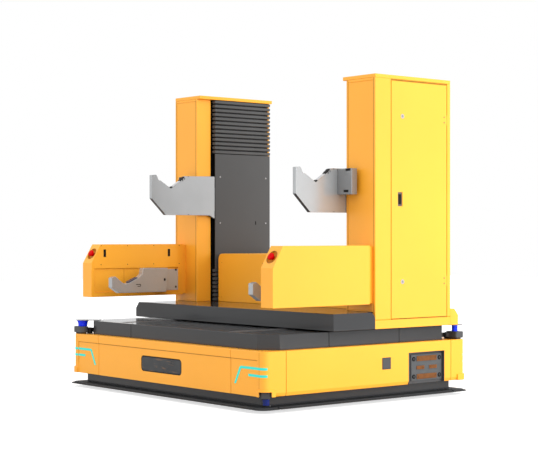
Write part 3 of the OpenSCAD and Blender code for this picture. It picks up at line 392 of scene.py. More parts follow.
def settle(name, mesh, body, look, edge=0.0, segments=2, node=()):
    """Puts a mesh in the scene as a finished piece, with its edges rounded, and lets it ride. A list of
    looks goes by the faces' material index."""
    piece = put(name, mesh)
    picked = [face.material_index for face in mesh.polygons]
    looks = [look] if isinstance(look, str) else look
    mesh.materials.clear()
    for key in looks:
        mesh.materials.append(finish(key))
    mesh.polygons.foreach_set("material_index", picked)
    smooth(mesh)
    if edge:
        bevel = piece.modifiers.new("edge", "BEVEL")
        bevel.width = edge
        bevel.segments = segments
        bevel.limit_method = "ANGLE"
        bevel.angle_limit = math.radians(BEVELLED)
        bevel.use_clamp_overlap = False
        piece.modifiers.new("normals", "WEIGHTED_NORMAL").keep_sharp = True
        apply(piece)
    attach(piece, body)
    if node:
        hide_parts(node)


def apply(piece):
    """Turns a piece's live modifiers into its mesh."""
    mesh, old = bake(piece), piece.data
    piece.modifiers.clear()
    piece.data = mesh
    bpy.data.meshes.remove(old)


def split(bm, point, normal, **values):
    """Cuts a mesh along a plane."""
    parts = bm.verts[:] + bm.edges[:] + bm.faces[:]
    bmesh.ops.bisect_plane(bm, geom=parts, plane_co=point, plane_no=normal, **values)


def cut_off(mesh, point, normal):
    """Cuts off what lies beyond a plane, and closes the cut."""
    with edited(mesh) as bm:
        split(bm, point, normal, clear_outer=True)
        bmesh.ops.holes_fill(bm, edges=[e for e in bm.edges if e.is_boundary])
        bmesh.ops.recalc_face_normals(bm, faces=bm.faces)


def lean_in(mesh, foot, flat, high, deep):
    """Leans in the foot of the flat that stands out to both sides, up to a height over it."""
    with edited(mesh) as bm:
        split(bm, (0, 0, foot + high), UP)
        for vert in bm.verts:
            if abs(abs(vert.co.y) - flat) < NEAR and vert.co.z < foot + NEAR:
                vert.co.y -= math.copysign(deep, vert.co.y)


def rounded(node, look, edge=None, segments=2, pick=None, cut=None, lip=None, shape=None):
    """The node again, with rounded edges and its own finish. pick gives a face's finish by its
    centre and normal, cut gives a plane beyond which the node is cut off, lip gives how far out
    the side's flat stands, and how high and deep its foot leans in, and shape moves a corner."""
    edge = sizes().edge if edge is None else edge
    body = body_of(frame["nodes"][node])[0]
    mesh = frame["nodes"][node].data.copy()
    with edited(mesh) as bm:
        bmesh.ops.remove_doubles(bm, verts=bm.verts, dist=WELD)
        bmesh.ops.dissolve_limit(bm, angle_limit=math.radians(FLAT), verts=bm.verts,
                                 edges=bm.edges)
    if cut:
        cut_off(mesh, *cut)
    if lip:
        lean_in(mesh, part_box(node)[0][2], *lip)
    if shape:
        for vert in mesh.vertices:
            shape(vert.co)
    for face in mesh.polygons:
        face.material_index = pick(face.center, face.normal) if pick else 0
    settle(node + "_finished", mesh, body, look, edge, segments, node)


def plate(node, look, **how):
    """A node of cut plate, with less rounding than bent sheet."""
    rounded(node, look, sizes().plate_edge, **how)


def turn(point, direction):
    """A place at a point, with its own Z along a direction."""
    facing = Vector(direction).to_track_quat("Z", "Y").to_matrix().to_4x4()
    return Matrix.Translation(point) @ facing


def upright(y, x=0.0, z=0.0, way=1):
    """A place whose X and Y are the world's X and Z, with its depth along Y from y outward, or
    inward where way is -1."""
    s = way if y > 0 else -way
    return Matrix(((1, 0, 0, x), (0, 0, s, y), (0, 1, 0, z), (0, 0, 0, 1)))


def brick(bm, low, high):
    """A block between two opposite corners."""
    low, high = Vector(map(min, low, high)), Vector(map(max, low, high))
    place = Matrix.Translation((low + high) / 2) @ Matrix.Diagonal((*(high - low), 1))
    bmesh.ops.create_cube(bm, size=1, matrix=place)


def lathe(bm, profile, place, steps, index=0):
    """Turns a profile of (radius, height) about the place's Z. Ends on the axis close the shape."""
    rings = []
    for radius, height in profile:
        angles = [2 * math.pi * i / steps for i in range(steps)] if radius > 0 else [0.0]
        around = [(radius * math.cos(a), radius * math.sin(a)) for a in angles]
        rings.append([bm.verts.new(place @ Vector((x, y, height))) for x, y in around])
    for first, second in zip(rings, rings[1:]):
        for i in range(steps):
            j = (i + 1) % steps
            corners = dict.fromkeys((first[i % len(first)], first[j % len(first)],
                                     second[j % len(second)], second[i % len(second)]))
            if len(corners) > 2:
                bm.faces.new(list(corners)).material_index = index


def prism(bm, outline, place, depth, index=0):
    """An outline in the place's X and Y, made thick along its Z."""
    low = [bm.verts.new(place @ Vector((x, y, 0))) for x, y in outline]
    high = [bm.verts.new(place @ Vector((x, y, depth))) for x, y in outline]
    faces = [bm.faces.new(low[::-1]), bm.faces.new(high)]
    for i in range(len(outline)):
        j = (i + 1) % len(outline)
        faces.append(bm.faces.new((low[i], low[j], high[j], high[i])))
    for face in faces:
        face.material_index = index


def mesh_from(bm, name):
    bmesh.ops.remove_doubles(bm, verts=bm.verts, dist=1e-6)
    bmesh.ops.recalc_face_normals(bm, faces=bm.faces)
    mesh = bpy.data.meshes.new(name)
    bm.to_mesh(mesh)
    bm.free()
    return mesh


@contextmanager
def shaped(name, body, look, edge=0.0, segments=2, node=()):
    """A new mesh to build in, which becomes a finished piece."""
    bm = bmesh.new()
    yield bm
    settle(name, mesh_from(bm, name), body, look, edge, segments, node)


def mirrored(profile):
    """A profile's other half, from its end back to its begin."""
    return [(radius, -height) for radius, height in reversed(profile)]


def slot_outline(length, width, radius, steps=6):
    """A rectangle with round corners."""
    points = []
    for cx, cy, start in ((1, 1, 0), (-1, 1, 90), (-1, -1, 180), (1, -1, 270)):
        for i in range(steps + 1):
            a = math.radians(start + 90 * i / steps)
            points.append((cx * (length / 2 - radius) + radius * math.cos(a),
                           cy * (width / 2 - radius) + radius * math.sin(a)))
    return points


# ---- Geometry Nodes ----


class Tree:
    """A Geometry Nodes group with named inputs."""

    def __init__(self, name, inputs):
        self.group = bpy.data.node_groups.new(name, "GeometryNodeTree")
        face = self.group.interface
        face.new_socket("Geometry", in_out="INPUT", socket_type="NodeSocketGeometry")
        for label, kind in inputs:
            face.new_socket(label, in_out="INPUT", socket_type="NodeSocket" + kind)
        face.new_socket("Geometry", in_out="OUTPUT", socket_type="NodeSocketGeometry")
        self.source = self.group.nodes.new("NodeGroupInput")
        self.target = self.group.nodes.new("NodeGroupOutput")

    def inputs(self, *labels):
        return [self.source.outputs[label] for label in labels]

    def fill(self, socket, value):
        if isinstance(value, bpy.types.NodeSocket):
            self.group.links.new(value, socket)
        else:
            socket.default_value = value

    def add(self, kind, links=None, **values):
        node = self.group.nodes.new(kind)
        for key, value in values.items():
            setattr(node, key, value)
        for key, value in (links or {}).items():
            self.fill(node.inputs[key], value)
        return node

    def maths(self, operation, *values):
        node = self.add("ShaderNodeMath", operation=operation)
        for socket, value in zip(node.inputs, values):
            self.fill(socket, value)
        return node.outputs[0]

    def lifted(self, shape, height):
        """A shape moved up by a height."""
        up = self.add("ShaderNodeCombineXYZ", {"Z": height})
        return self.add("GeometryNodeTransform", {
            "Geometry": shape.outputs["Mesh"], "Translation": up.outputs[0]})

    def run(self, mesh, values):
        """The tree's result on a mesh, as a plain mesh."""
        holder = put("work", mesh)
        modifier = holder.modifiers.new("work", "NODES")
        modifier.node_group = self.group
        for item in self.group.interface.items_tree:
            if item.in_out == "INPUT" and item.name in values:
                modifier[item.identifier] = values[item.name]
        result = bake(holder)
        bpy.data.objects.remove(holder)
        return result


trees = {}
HEAD_STEPS = 20       # sides of a screw head
HEAD_BODY = 0.7       # share of a head's height that stands straight; its crown has the rest
HEAD_CROWN = 0.82     # share of a head's radius that its crown keeps at the top
SOCKET_DEEP = 0.5     # share of a head's height that its dark socket takes
SOCKET_MIDDLE = 0.77  # where the middle of the socket lies in the head's height
FOLD_ROWS = 16        # rows of a folded sheet to each fold
FOLD_COLUMNS = 9      # columns of a folded sheet, of which the last on each side is its side wall
FOLD_FACE = 4 / 3     # how far the columns between spread, to reach over the whole width
FOLD_EDGE = 0.9       # share of the half width beyond which a column is a side wall
FOLD_GROOVE = 0.14    # share of half a fold that stays down in the groove
FOLD_RIDGE = 0.45     # share of half a fold from which it lies on the ridge
FOLD_WALL = 0.008     # how far a side wall reaches behind the grooves


def screw_tree():
    """Screw heads on points, each along the point's facing, with a black six-sided patch for the socket:
    painted shade of its recess.
    """
    if "screw" in trees:
        return trees["screw"]
    t = Tree("screw_heads", [("Head radius", "Float"), ("Head height", "Float"),
                             ("Socket radius", "Float"), ("Head finish", "Material"),
                             ("Socket finish", "Material")])
    radius, height, socket = t.inputs("Head radius", "Head height", "Socket radius")
    straight = t.maths("MULTIPLY", height, HEAD_BODY)
    body = t.add("GeometryNodeMeshCylinder", {
        "Vertices": HEAD_STEPS, "Radius": radius, "Depth": straight})
    crown = t.add("GeometryNodeMeshCone", {
        "Vertices": HEAD_STEPS, "Radius Bottom": radius,
        "Radius Top": t.maths("MULTIPLY", radius, HEAD_CROWN),
        "Depth": t.maths("MULTIPLY", height, 1 - HEAD_BODY)})
    hexagon = t.add("GeometryNodeMeshCylinder", {
        "Vertices": 6, "Radius": socket, "Depth": t.maths("MULTIPLY", height, SOCKET_DEEP)})
    hexagon = t.lifted(hexagon, t.maths("MULTIPLY", height, SOCKET_MIDDLE))
    flag = t.add("GeometryNodeStoreNamedAttribute", {
        "Geometry": hexagon.outputs[0], "Name": "socket", "Value": True},
        data_type="BOOLEAN", domain="FACE")
    head = t.add("GeometryNodeJoinGeometry")
    body = t.lifted(body, t.maths("MULTIPLY", straight, 0.5))
    for part in (body, t.lifted(crown, straight), flag):
        t.fill(head.inputs[0], part.outputs[0])
    facing = t.add("GeometryNodeInputNamedAttribute", {"Name": "facing"}, data_type="FLOAT_VECTOR")
    aim = t.add("FunctionNodeAlignRotationToVector", {"Vector": facing.outputs[0]}, axis="Z")
    points = t.add("GeometryNodeMeshToPoints", {"Mesh": t.source.outputs["Geometry"]})
    placed = t.add("GeometryNodeInstanceOnPoints", {
        "Points": points.outputs[0], "Instance": head.outputs[0], "Rotation": aim.outputs[0]})
    solid = t.add("GeometryNodeRealizeInstances", {"Geometry": placed.outputs[0]})
    first = t.add("GeometryNodeSetMaterial", {
        "Geometry": solid.outputs[0], "Material": t.source.outputs["Head finish"]})
    flagged = t.add("GeometryNodeInputNamedAttribute", {"Name": "socket"}, data_type="BOOLEAN")
    last = t.add("GeometryNodeSetMaterial", {
        "Geometry": first.outputs[0], "Selection": flagged.outputs[0],
        "Material": t.source.outputs["Socket finish"]})
    t.fill(t.target.inputs[0], last.outputs[0])
    trees["screw"] = t
    return t


def screws(name, body, places, radius, look="bright", height=None, socket=0.55):
    """Screw heads at (point, facing) places, as one piece on one body."""
    mesh = bpy.data.meshes.new(name + "_points")
    mesh.from_pydata([p for p, _ in places], [], [])
    facing = mesh.attributes.new("facing", "FLOAT_VECTOR", "POINT")
    facing.data.foreach_set("vector", [c for _, d in places for c in d])
    result = screw_tree().run(mesh, {
        "Head radius": radius, "Head height": height or radius * 0.5,
        "Socket radius": radius * socket, "Head finish": finish(look),
        "Socket finish": finish("black")})
    result.name = name
    smooth(result, SCREW_SHARP)
    piece = put(name, result)
    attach(piece, body)


def fold_tree():
    """A sheet folded to and fro, with its folds one above the other and a wall at each side."""
    if "fold" in trees:
        return trees["fold"]
    t = Tree("folded_cover", [("Width", "Float"), ("Height", "Float"), ("Folds", "Int"),
                              ("Depth", "Float"), ("Notch", "Float"), ("Finish", "Material")])
    width, height, folds, depth, notch = t.inputs("Width", "Height", "Folds", "Depth", "Notch")
    rows = t.maths("ADD", t.maths("MULTIPLY", folds, FOLD_ROWS), 1)
    grid = t.add("GeometryNodeMeshGrid", {
        "Size X": width, "Size Y": height, "Vertices X": FOLD_COLUMNS, "Vertices Y": rows})
    position = t.add("GeometryNodeInputPosition")
    at = t.add("ShaderNodeSeparateXYZ", {0: position.outputs[0]})
    along = t.maths("ADD", t.maths("DIVIDE", at.outputs["Y"], height), 0.5)
    wave = t.maths("PINGPONG", t.maths("MULTIPLY", along, t.maths("MULTIPLY", folds, 2)), 1)
    ramp = t.add("ShaderNodeMapRange", {
        "Value": wave, "From Min": FOLD_GROOVE, "From Max": FOLD_RIDGE}).outputs[0]
    back = t.maths("MULTIPLY", t.maths("SUBTRACT", 1, ramp), notch)
    side = t.maths("DIVIDE", at.outputs["X"], t.maths("MULTIPLY", width, -0.5))
    spread = t.maths("MINIMUM", t.maths("MULTIPLY", side, FOLD_FACE), 1)
    spread = t.maths("MAXIMUM", spread, -1)
    front = t.maths("LESS_THAN", t.maths("ABSOLUTE", side), FOLD_EDGE)
    place = t.maths("MULTIPLY", spread, t.maths("SUBTRACT", back, t.maths("MULTIPLY", width, 0.5)))
    rise = t.maths("ADD", t.maths("MULTIPLY", ramp, depth), FOLD_WALL)
    out = t.add("ShaderNodeCombineXYZ", {
        "X": t.maths("SUBTRACT", place, at.outputs["X"]),
        "Z": t.maths("SUBTRACT", t.maths("MULTIPLY", rise, front), FOLD_WALL)})
    folded = t.add("GeometryNodeSetPosition", {
        "Geometry": grid.outputs["Mesh"], "Offset": out.outputs[0]})
    solid = t.add("GeometryNodeRealizeInstances", {"Geometry": folded.outputs[0]})
    last = t.add("GeometryNodeSetMaterial", {
        "Geometry": solid.outputs[0], "Material": t.source.outputs["Finish"]})
    t.fill(t.target.inputs[0], last.outputs[0])
    trees["fold"] = t
    return t


# ---- Operators ----

FACING = 0.9       # the part of a face's normal that makes it face a direction
IN_PLANE = 0.001   # how near the middle of a face lies to the plane that it belongs to
SINK = 0.0008      # how deep the foot of a screw head stands in its plate


def middle(node):
    """The middle of a node's box."""
    low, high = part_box(node)
    return [(a + b) / 2 for a, b in zip(low, high)]


def inner_face(node):
    """How far the face of one side's node that looks inward stands from the middle."""
    low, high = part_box(node)
    return min(abs(low[1]), abs(high[1]))


class VehicleOperator(bpy.types.Operator):
    bl_options = {"REGISTER", "UNDO"}


CAMERA_PLACE = (5.7555, 7.0368, 0.9815)
CAMERA_LOOK = (-0.6358, -0.7718, 0.0)
CAMERA = {"lens": 95.49, "sensor_width": 36.0, "shift_y": 0.0075, "clip_end": 200.0}
SIDE_LAMP = {"place": (-2.2, 4.5, 1.4), "back": (-1.9, 3.5, 0.4), "size": 3.0}
FAR_LAMP = {"place": (0.0, 8.0, 2.1), "back": (0.0, 8.0, 2.1), "angle": math.radians(40)}
FLOOR_DROP = 0.0005    # how far the floor lies under the wheels
FLOOR_TONES = ((0.53, 0.53, 0.53), (0.57, 0.57, 0.57))
FLOOR_GLOW = 0.68      # light that the floor adds where it is looked at


class VEHICLE_OT_stage(VehicleOperator):
    """Camera, floor, lamps and surroundings"""

    bl_idname = "vehicle.stage"
    bl_label = "Stage"

    def execute(self, context):
        scene = bpy.context.scene
        stage = scene.vehicle_stage
        scene.view_settings.view_transform = "Standard"
        data = bpy.data.cameras.new("camera")
        for key, value in CAMERA.items():
            setattr(data, key, value)
        scene.camera = put("camera", data)
        look = Vector(CAMERA_LOOK).to_track_quat("-Z", "Y").to_matrix().to_4x4()
        scene.camera.matrix_world = Matrix.Translation(CAMERA_PLACE) @ look
        side = self.lamp("side_lamp", "AREA", stage.key, **SIDE_LAMP)
        side.visible_glossy = False
        self.lamp("far_lamp", "SUN", stage.far, **FAR_LAMP)
        self.surroundings(scene, stage.sky)
        self.floor(stage.floor)
        return {"FINISHED"}

    def lamp(self, name, kind, energy, place, back, **values):
        """A lamp at a place, with its back in a direction."""
        data = bpy.data.lights.new(name, kind)
        data.energy = energy
        for key, value in values.items():
            setattr(data, key, value)
        holder = put(name, data)
        holder.matrix_world = turn(place, back)
        return holder

    def surroundings(self, scene, strength):
        """Light from all round, and plain white where it is looked at, mirrored or seen through."""
        world = bpy.data.worlds.new("surroundings")
        scene.world = world
        world.use_nodes = True
        nodes, links = world.node_tree.nodes, world.node_tree.links
        nodes.clear()
        output, mix, rays = (nodes.new("ShaderNode" + kind)
                             for kind in ("OutputWorld", "MixShader", "LightPath"))
        seen = rays.outputs["Is Camera Ray"]
        for label in ("Is Glossy Ray", "Is Transmission Ray"):
            either = nodes.new("ShaderNodeMath")
            either.operation = "MAXIMUM"
            links.new(seen, either.inputs[0])
            links.new(rays.outputs[label], either.inputs[1])
            seen = either.outputs[0]
        links.new(seen, mix.inputs[0])
        for place, level in ((1, strength), (2, 1.0)):
            light = nodes.new("ShaderNodeBackground")
            light.inputs["Color"].default_value = (1, 1, 1, 1)
            light.inputs["Strength"].default_value = level
            links.new(light.outputs[0], mix.inputs[place])
        links.new(mix.outputs[0], output.inputs["Surface"])

    def floor(self, side):
        """A matt floor under the wheels, brighter where it is looked at."""
        bm = bmesh.new()
        under = Matrix.Translation((0, 0, -FLOOR_DROP))
        bmesh.ops.create_grid(bm, x_segments=1, y_segments=1, size=side / 2, matrix=under)
        mesh = bpy.data.meshes.new("floor")
        bm.to_mesh(mesh)
        bm.free()
        n = Nodes("floor_paint")
        tone = n.blend(n.spread(n.noise(0.6), 0, 1), *FLOOR_TONES)
        n.shader.inputs["Roughness"].default_value = 0.9
        n.shader.inputs["Specular IOR Level"].default_value = 0.1
        glow = n.add("ShaderNodeEmission", Strength=FLOOR_GLOW).outputs[0]
        rays, both, mix = (n.add("ShaderNode" + kind)
                           for kind in ("LightPath", "AddShader", "MixShader"))
        matt = n.shader.outputs[0]
        for source, target in (
                (tone, n.shader.inputs["Base Color"]),
                (matt, both.inputs[0]), (glow, both.inputs[1]),
                (rays.outputs["Is Camera Ray"], mix.inputs[0]),
                (matt, mix.inputs[1]), (both.outputs[0], mix.inputs[2]),
                (mix.outputs[0], n.tree.nodes["Material Output"].inputs["Surface"])):
            n.join(source, target)
        mesh.materials.append(n.material)
        put("floor", mesh)


LIP_HIGH, LIP_DEEP = 0.021, 0.008     # the foot of the sides that leans in
RAIL_ROWS = 12                        # rows of screws along a deck rail
RAIL_END = 0.05                       # from a rail's end to its first row
RAIL_PAIR = (-0.022, 0.022)           # the two screws of a row, about the rail's middle
RAIL_MIDDLE = 0.04                    # from a rail's outer edge to its middle
DECK_IN = 0.03                        # from the deck's edge to its screws
DECK_X = (-0.62, -0.31, -0.25, 0.25, 0.31, 0.62)
DECK_Y = (-0.78, -0.44, -0.38, 0.38, 0.44, 0.78)
# the groove and the seam below are drawn as thin strips of darkened paint: painted shade
FIELD_BACK = 0.004                    # how far an end's field is sunk
FIELD_TOP = 0.048                     # from the panel's top down to the field
FIELD_FOOT, FIELD_SIDE = 0.155, 0.925 # lowest and outermost line of the groove round it
GROOVE = 0.0035                       # width of that groove
BEAD = (0.9275, 0.9415)               # the bead beside a corner
SEAM = (0.9415, 0.9440)               # and the groove beside the bead


class VEHICLE_OT_base(VehicleOperator):
    """Painted panels, deck, apron and contact strips of the base"""

    bl_idname = "vehicle.base"
    bl_label = "Base"

    def execute(self, context):
        for node in ("front_panel", "rear_panel"):
            rounded(node, "paint")
        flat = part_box("side_panels")[1][1]
        for node in ("side_panels", "corner_posts"):
            rounded(node, "paint", lip=(flat, LIP_HIGH, LIP_DEEP))
        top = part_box("chassis_frame")[1][2]
        rounded("chassis_frame", ["frame", "paint"],
                pick=lambda c, n: int(n.z > FACING and c.z > top - IN_PLANE))
        rounded("deck", "dark")
        plate("apron", "dark")
        rounded("contact_strips", "rubber", 0.003, 3)
        plate("deck_rails", "frame")
        self.deck_details()
        self.grooves()
        return {"FINISHED"}

    def deck_details(self):
        """The screws of the deck rails and of the deck."""
        low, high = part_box("deck_rails")
        step = (high[0] - low[0] - 2 * RAIL_END) / (RAIL_ROWS - 1)
        places = [((low[0] + RAIL_END + i * step, side * (high[1] - RAIL_MIDDLE) + y,
                    high[2] - 0.001), UP)
                  for side in SIDES.values() for i in range(RAIL_ROWS) for y in RAIL_PAIR]
        screws("deck_rail_screws", "chassis", places, sizes().small_screw, "frame", 0.0014)
        low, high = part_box("deck")
        z = high[2] - SINK
        places = [((x, side * (high[1] - DECK_IN), z), UP)
                  for side in SIDES.values() for x in DECK_X]
        places += [((end * (high[0] - DECK_IN), y, z), UP)
                   for end in ENDS.values() for y in DECK_Y]
        screws("deck_screws", "chassis", places, sizes().small_screw, "dark", 0.0016)

    def grooves(self):
        """Strips of darkened paint in the groove round each end's sunk field and in the seam beside each
        corner's bead, which paint their shade, and the bead beside each corner.
        """
        low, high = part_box("front_panel")
        out, top = high[0], high[2] - FIELD_TOP
        field, tall = out - FIELD_BACK, (low[2] + 0.045, high[2] - 0.003)
        beside = (FIELD_SIDE - GROOVE, FIELD_SIDE)
        # the groove and seam strips are darkened paint: painted shade
        groove, bead = bmesh.new(), bmesh.new()
        for end in ENDS.values():
            for side in SIDES.values():
                for bm, x, proud, y, z in (
                        (groove, field, 0.0004, (0, FIELD_SIDE), (top - GROOVE, top)),
                        (groove, field, 0.0004, beside, (FIELD_FOOT, top)),
                        (groove, out, 0.0003, SEAM, tall),
                        (bead, out, 0.0009, BEAD, tall)):
                    brick(bm, (end * (x - 0.001), side * y[0], z[0]),
                          (end * (x + proud), side * y[1], z[1]))
        settle("field_grooves", mesh_from(groove, "grooves"), "chassis", "gap")
        settle("corner_beads", mesh_from(bead, "beads"), "chassis", "paint", 0.0004, 1)


class VEHICLE_OT_front_lights(VehicleOperator):
    """Dark windows and lit strips"""

    bl_idname = "vehicle.front_lights"
    bl_label = "Windows and light strips"

    def execute(self, context):
        plate("window_panels", "black")
        low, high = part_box("window_panels")
        rim = 0.012
        tall, wide = high[2] - low[2] - rim, high[1] - low[1] - rim
        with shaped("window_glass", "chassis", "glass", 0.0003, 1) as bm:
            for end in ENDS.values():
                face = turn((end * (high[0] - 0.0004), 0, (low[2] + high[2]) / 2), (end, 0, 0))
                across = face.to_3x3() @ Vector((1, 0, 0))
                size = (wide, tall) if abs(across.y) > 0.5 else (tall, wide)
                prism(bm, slot_outline(*size, 0.019), face, 0.0008)
        rounded("light_strips", "light", 0.0004, 1)
        return {"FINISHED"}


BUSH = [(0.0, 0.0), (0.0135, 0.0), (0.0135, 0.0022), (0.0118, 0.003), (0.0095, 0.003),
        (0.0088, 0.0018), (0.0, 0.0018)]
BUSHES = [(x, z) for x in (-0.11, 0.11) for z in (-0.053, 0.053)]
PAD_SCREWS = ((-0.072, 0.056), (0.072, 0.052), (-0.072, -0.053), (0.072, -0.056),
              (0.034, -0.002), (-0.034, 0.003))
LEFT = (0, 1, 0)


class VEHICLE_OT_charging(VehicleOperator):
    """Charging tray with its contact pads, and the service socket"""

    bl_idname = "vehicle.charging"
    bl_label = "Charging tray and socket"

    def execute(self, context):
        low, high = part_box("charging_pads")
        plate("charging_plate", ["housing", "plate"],
              pick=lambda c, n: int(n.y > FACING and abs(c.y - low[1]) < IN_PLANE))
        plate("charging_pads", "copper")
        mid_x, _, mid_z = middle("charging_pads")
        y = high[1] - 0.003
        with shaped("charging_plate_bushes", "chassis", "black") as bm:
            for x, z in BUSHES:
                lathe(bm, BUSH, turn((mid_x + x, y, mid_z + z), LEFT), 24)
        places = [((mid_x + x, y + 0.0015, mid_z + z), LEFT) for x, z in BUSHES]
        screws("charging_plate_screws", "chassis", places, 0.006, "plate", 0.0022)
        places = [((mid_x + x, high[1] - 0.0006, mid_z + z), LEFT) for x, z in PAD_SCREWS]
        screws("contact_pad_screws", "chassis", places, 0.0042, "copper", 0.0016, 0.7)
        self.lid()
        return {"FINISHED"}

    def lid(self):
        """The service socket's lid, with a raised field."""
        low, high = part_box("service_socket")
        side, deep = high[0] - low[0], high[1] - low[1]
        field = side - 0.010
        mid_x, _, mid_z = middle("service_socket")
        face = turn((mid_x, low[1], mid_z), LEFT)
        with shaped("service_socket_lid", "chassis", ["socket", "housing"], 0.0006, 2,
                    "service_socket") as bm:
            prism(bm, slot_outline(side, side, 0.004), face, deep * 0.75)
            prism(bm, slot_outline(field, field, 0.003), face, deep, 1)


LOW_HEADS = 0.2           # height under which the lower scanners' windows lie
HEAD_IN = 0.049           # from the guard plates' outer edges to a scanner's middle
HEAD_REACH = 0.05         # how far out the front scanner's window reaches
HEAD_FLARE = 0.18         # how much wider it is at its top
PLUG = [(0.0, 0.0), (0.0175, 0.0), (0.0175, 0.012), (0.0150, 0.013), (0.0150, 0.026),
        (0.0125, 0.028), (0.0125, 0.040), (0.0, 0.040)]


class VEHICLE_OT_scanners(VehicleOperator):
    """Scanner housings, windows and guard plates"""

    bl_idname = "vehicle.scanners"
    bl_label = "Scanners"

    def execute(self, context):
        rounded("scanner_housings", "housing", 0.004, 3)
        # windows under LOW_HEADS get the darkened blue: painted shade
        plate("scanner_windows", ["dome", "low_dome_shade"], pick=lambda c, n: int(c.z < LOW_HEADS),
              shape=self.flare)
        rounded("scanner_guards", "box", 0.0008)
        low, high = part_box("scanner_guards")
        heads = ((high[0] - HEAD_IN, low[1] + HEAD_IN), (low[0] + HEAD_IN, high[1] - HEAD_IN))
        corners = ((0.02, 0.02), (-0.02, -0.02), (0.02, -0.02), (-0.02, 0.02))
        places = [((x + dx, y + dy, high[2] - 0.0004), UP) for x, y in heads for dx, dy in corners]
        screws("scanner_guard_screws", "chassis", places, sizes().small_screw, height=0.0018)
        self.plugs()
        return {"FINISHED"}

    def flare(self, corner):
        """Opens the front scanner's window towards its top."""
        low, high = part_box("scanner_guards")
        out = corner.xy - Vector((high[0] - HEAD_IN, low[1] + HEAD_IN))
        if corner.z > low[2] - IN_PLANE and out.length < HEAD_REACH:
            corner.xy += out * HEAD_FLARE

    def plugs(self):
        """A plug with its lead's short elbow between each high scanner's foot and the deck."""
        with shaped("scanner_plugs", "chassis", "black", 0.0015) as bm:
            for s in (1, -1):
                lathe(bm, PLUG, turn((0.738 * s, -0.892 * s, 0.3425), UP), 24)
                brick(bm, (0.722 * s, -0.912 * s, 0.3520), (0.700 * s, -0.876 * s, 0.3780))


TREAD_LINES = (-0.5, 0.0, 0.5)      # where the grooves lie, as shares of half the tread's width
TREAD_LINE = ((-0.0018, 0), (-0.0008, 0.0014), (0.0008, 0.0014), (0.0018, 0))


class VEHICLE_OT_wheels(VehicleOperator):
    """Drive wheels, casters and their forks"""

    bl_idname = "vehicle.wheels"
    bl_label = "Wheels"

    def wheel(self, node, body, tread, size):
        """A sunk disc between hub and rim, a grooved tread, and six bolts on each side. size sets
        the hub, the ring of bolts and their heads."""
        low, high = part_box(node)
        x, y, _ = middle(node)
        radius, half = (high[0] - low[0]) / 2, (high[1] - low[1]) / 2
        hub, ring, rim = size * 1.9, size * 1.45, radius - tread
        disc = [(hub * 0.5, -half), (hub * 0.85, -half), (hub, -half + 0.006),
                (rim - 0.008, -half + 0.007), (rim - 0.003, -half + 0.0015), (rim, -half + 0.001)]
        edge = [(rim, -half), (radius - 0.006, -half), (radius - 0.0015, -half + 0.003),
                (radius, -half + 0.007)]
        lines = [(radius - deep, line * half + across)
                 for line in TREAD_LINES for across, deep in TREAD_LINE]
        place = turn((x, y, radius), LEFT)
        look = ["frame", "tyre" if "drive" in node else "rubber"]
        with shaped(node + "_finished", body, look, 0, 2, node) as bm:
            lathe(bm, disc + mirrored(disc) + disc[:1], place, 64)
            lathe(bm, edge + lines + mirrored(edge) + edge[:1], place, 64, 1)
        places = [((x + ring * math.cos(a), y + s * (half - 0.0012), radius + ring * math.sin(a)),
                   (0, s, 0)) for s in (-1, 1) for a in (math.pi * i / 3 for i in range(6))]
        screws(node + "_bolts", body, places, size * 0.22, height=0.003)

    def execute(self, context):
        for end in ENDS:
            rounded("steer_fork_" + end, "frame")
            self.wheel("drive_wheel_" + end, "drive_" + end, 0.018, 0.030)
            for side in SIDES:
                plate(f"caster_fork_{end}_{side}", "bright")
                self.wheel(f"caster_wheel_{end}_{side}", f"roller_{end}_{side}", 0.014, 0.017)
        return {"FINISHED"}


class VEHICLE_OT_platform(VehicleOperator):
    """Sliding platform with its rear beam and middle cabinet"""

    bl_idname = "vehicle.platform"
    bl_label = "Platform and cabinet"

    def execute(self, context):
        rounded("platform", "dark")
        rounded("rear_beam", "paint")
        rounded("middle_cabinet", "paint")
        low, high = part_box("middle_cabinet")
        places = [((x + s * -SINK, y, z), (s, 0, 0)) for y in (-0.66, -0.22, 0.22, 0.66)
                  for z in (low[2] + 0.03, high[2] - 0.06) for s, x in ((1, high[0]), (-1, low[0]))]
        screws("cabinet_screws", "upper_frame", places, sizes().small_screw, "paint", 0.0022)
        return {"FINISHED"}


class VEHICLE_OT_columns(VehicleOperator):
    """Column shells, caps and the lift rails inside them"""

    bl_idname = "vehicle.columns"
    bl_label = "Columns"

    def execute(self, context):
        for side in SIDES:
            rounded("column_" + side, "paint")
        # thin strips of darkened paint near the edges of each column's front and rear faces: painted shade
        # of a groove
        low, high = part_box("column_right")
        inset = 0.014
        with shaped("column_grooves", "upper_frame", "gap") as bm:
            for y in (low[1], -high[1]):
                for edge in (y + inset, y + high[1] - low[1] - inset):
                    for x in (low[0] + 0.0003, high[0] - 0.0003):
                        brick(bm, (x - 0.0008, edge - 0.0016, low[2] + 0.02),
                              (x + 0.0008, edge + 0.0016, high[2] - 0.002))
        rounded("column_caps", "paint")
        # near-black masts: painted shade inside the columns
        plate("masts", "mast")
        return {"FINISHED"}


HANDLE_IN, HANDLE_Z = 0.072, 1.197    # from the door's front edge, and over the floor
LOCK_IN, LOCKS_Z = 0.091, (1.690, 0.707)
LOCK = [(0.0, 0.0008), (0.0085, 0.0008), (0.0090, 0.0018), (0.0128, 0.0018), (0.0142, 0.0006),
        (0.0142, -0.003), (0.0, -0.003)]
HINGE_X, HINGES_Z = -0.604, (1.703, 1.670, 0.722, 0.690)
# the door's gaps, and the strips of darkened paint in them, which paint their shade
DOOR_GAP, DOOR_TOP_GAP, SHADE_STRIP_WIDE = 0.005, 0.010, 0.003
SHADE_STRIP_Y = (0.981, 0.991)


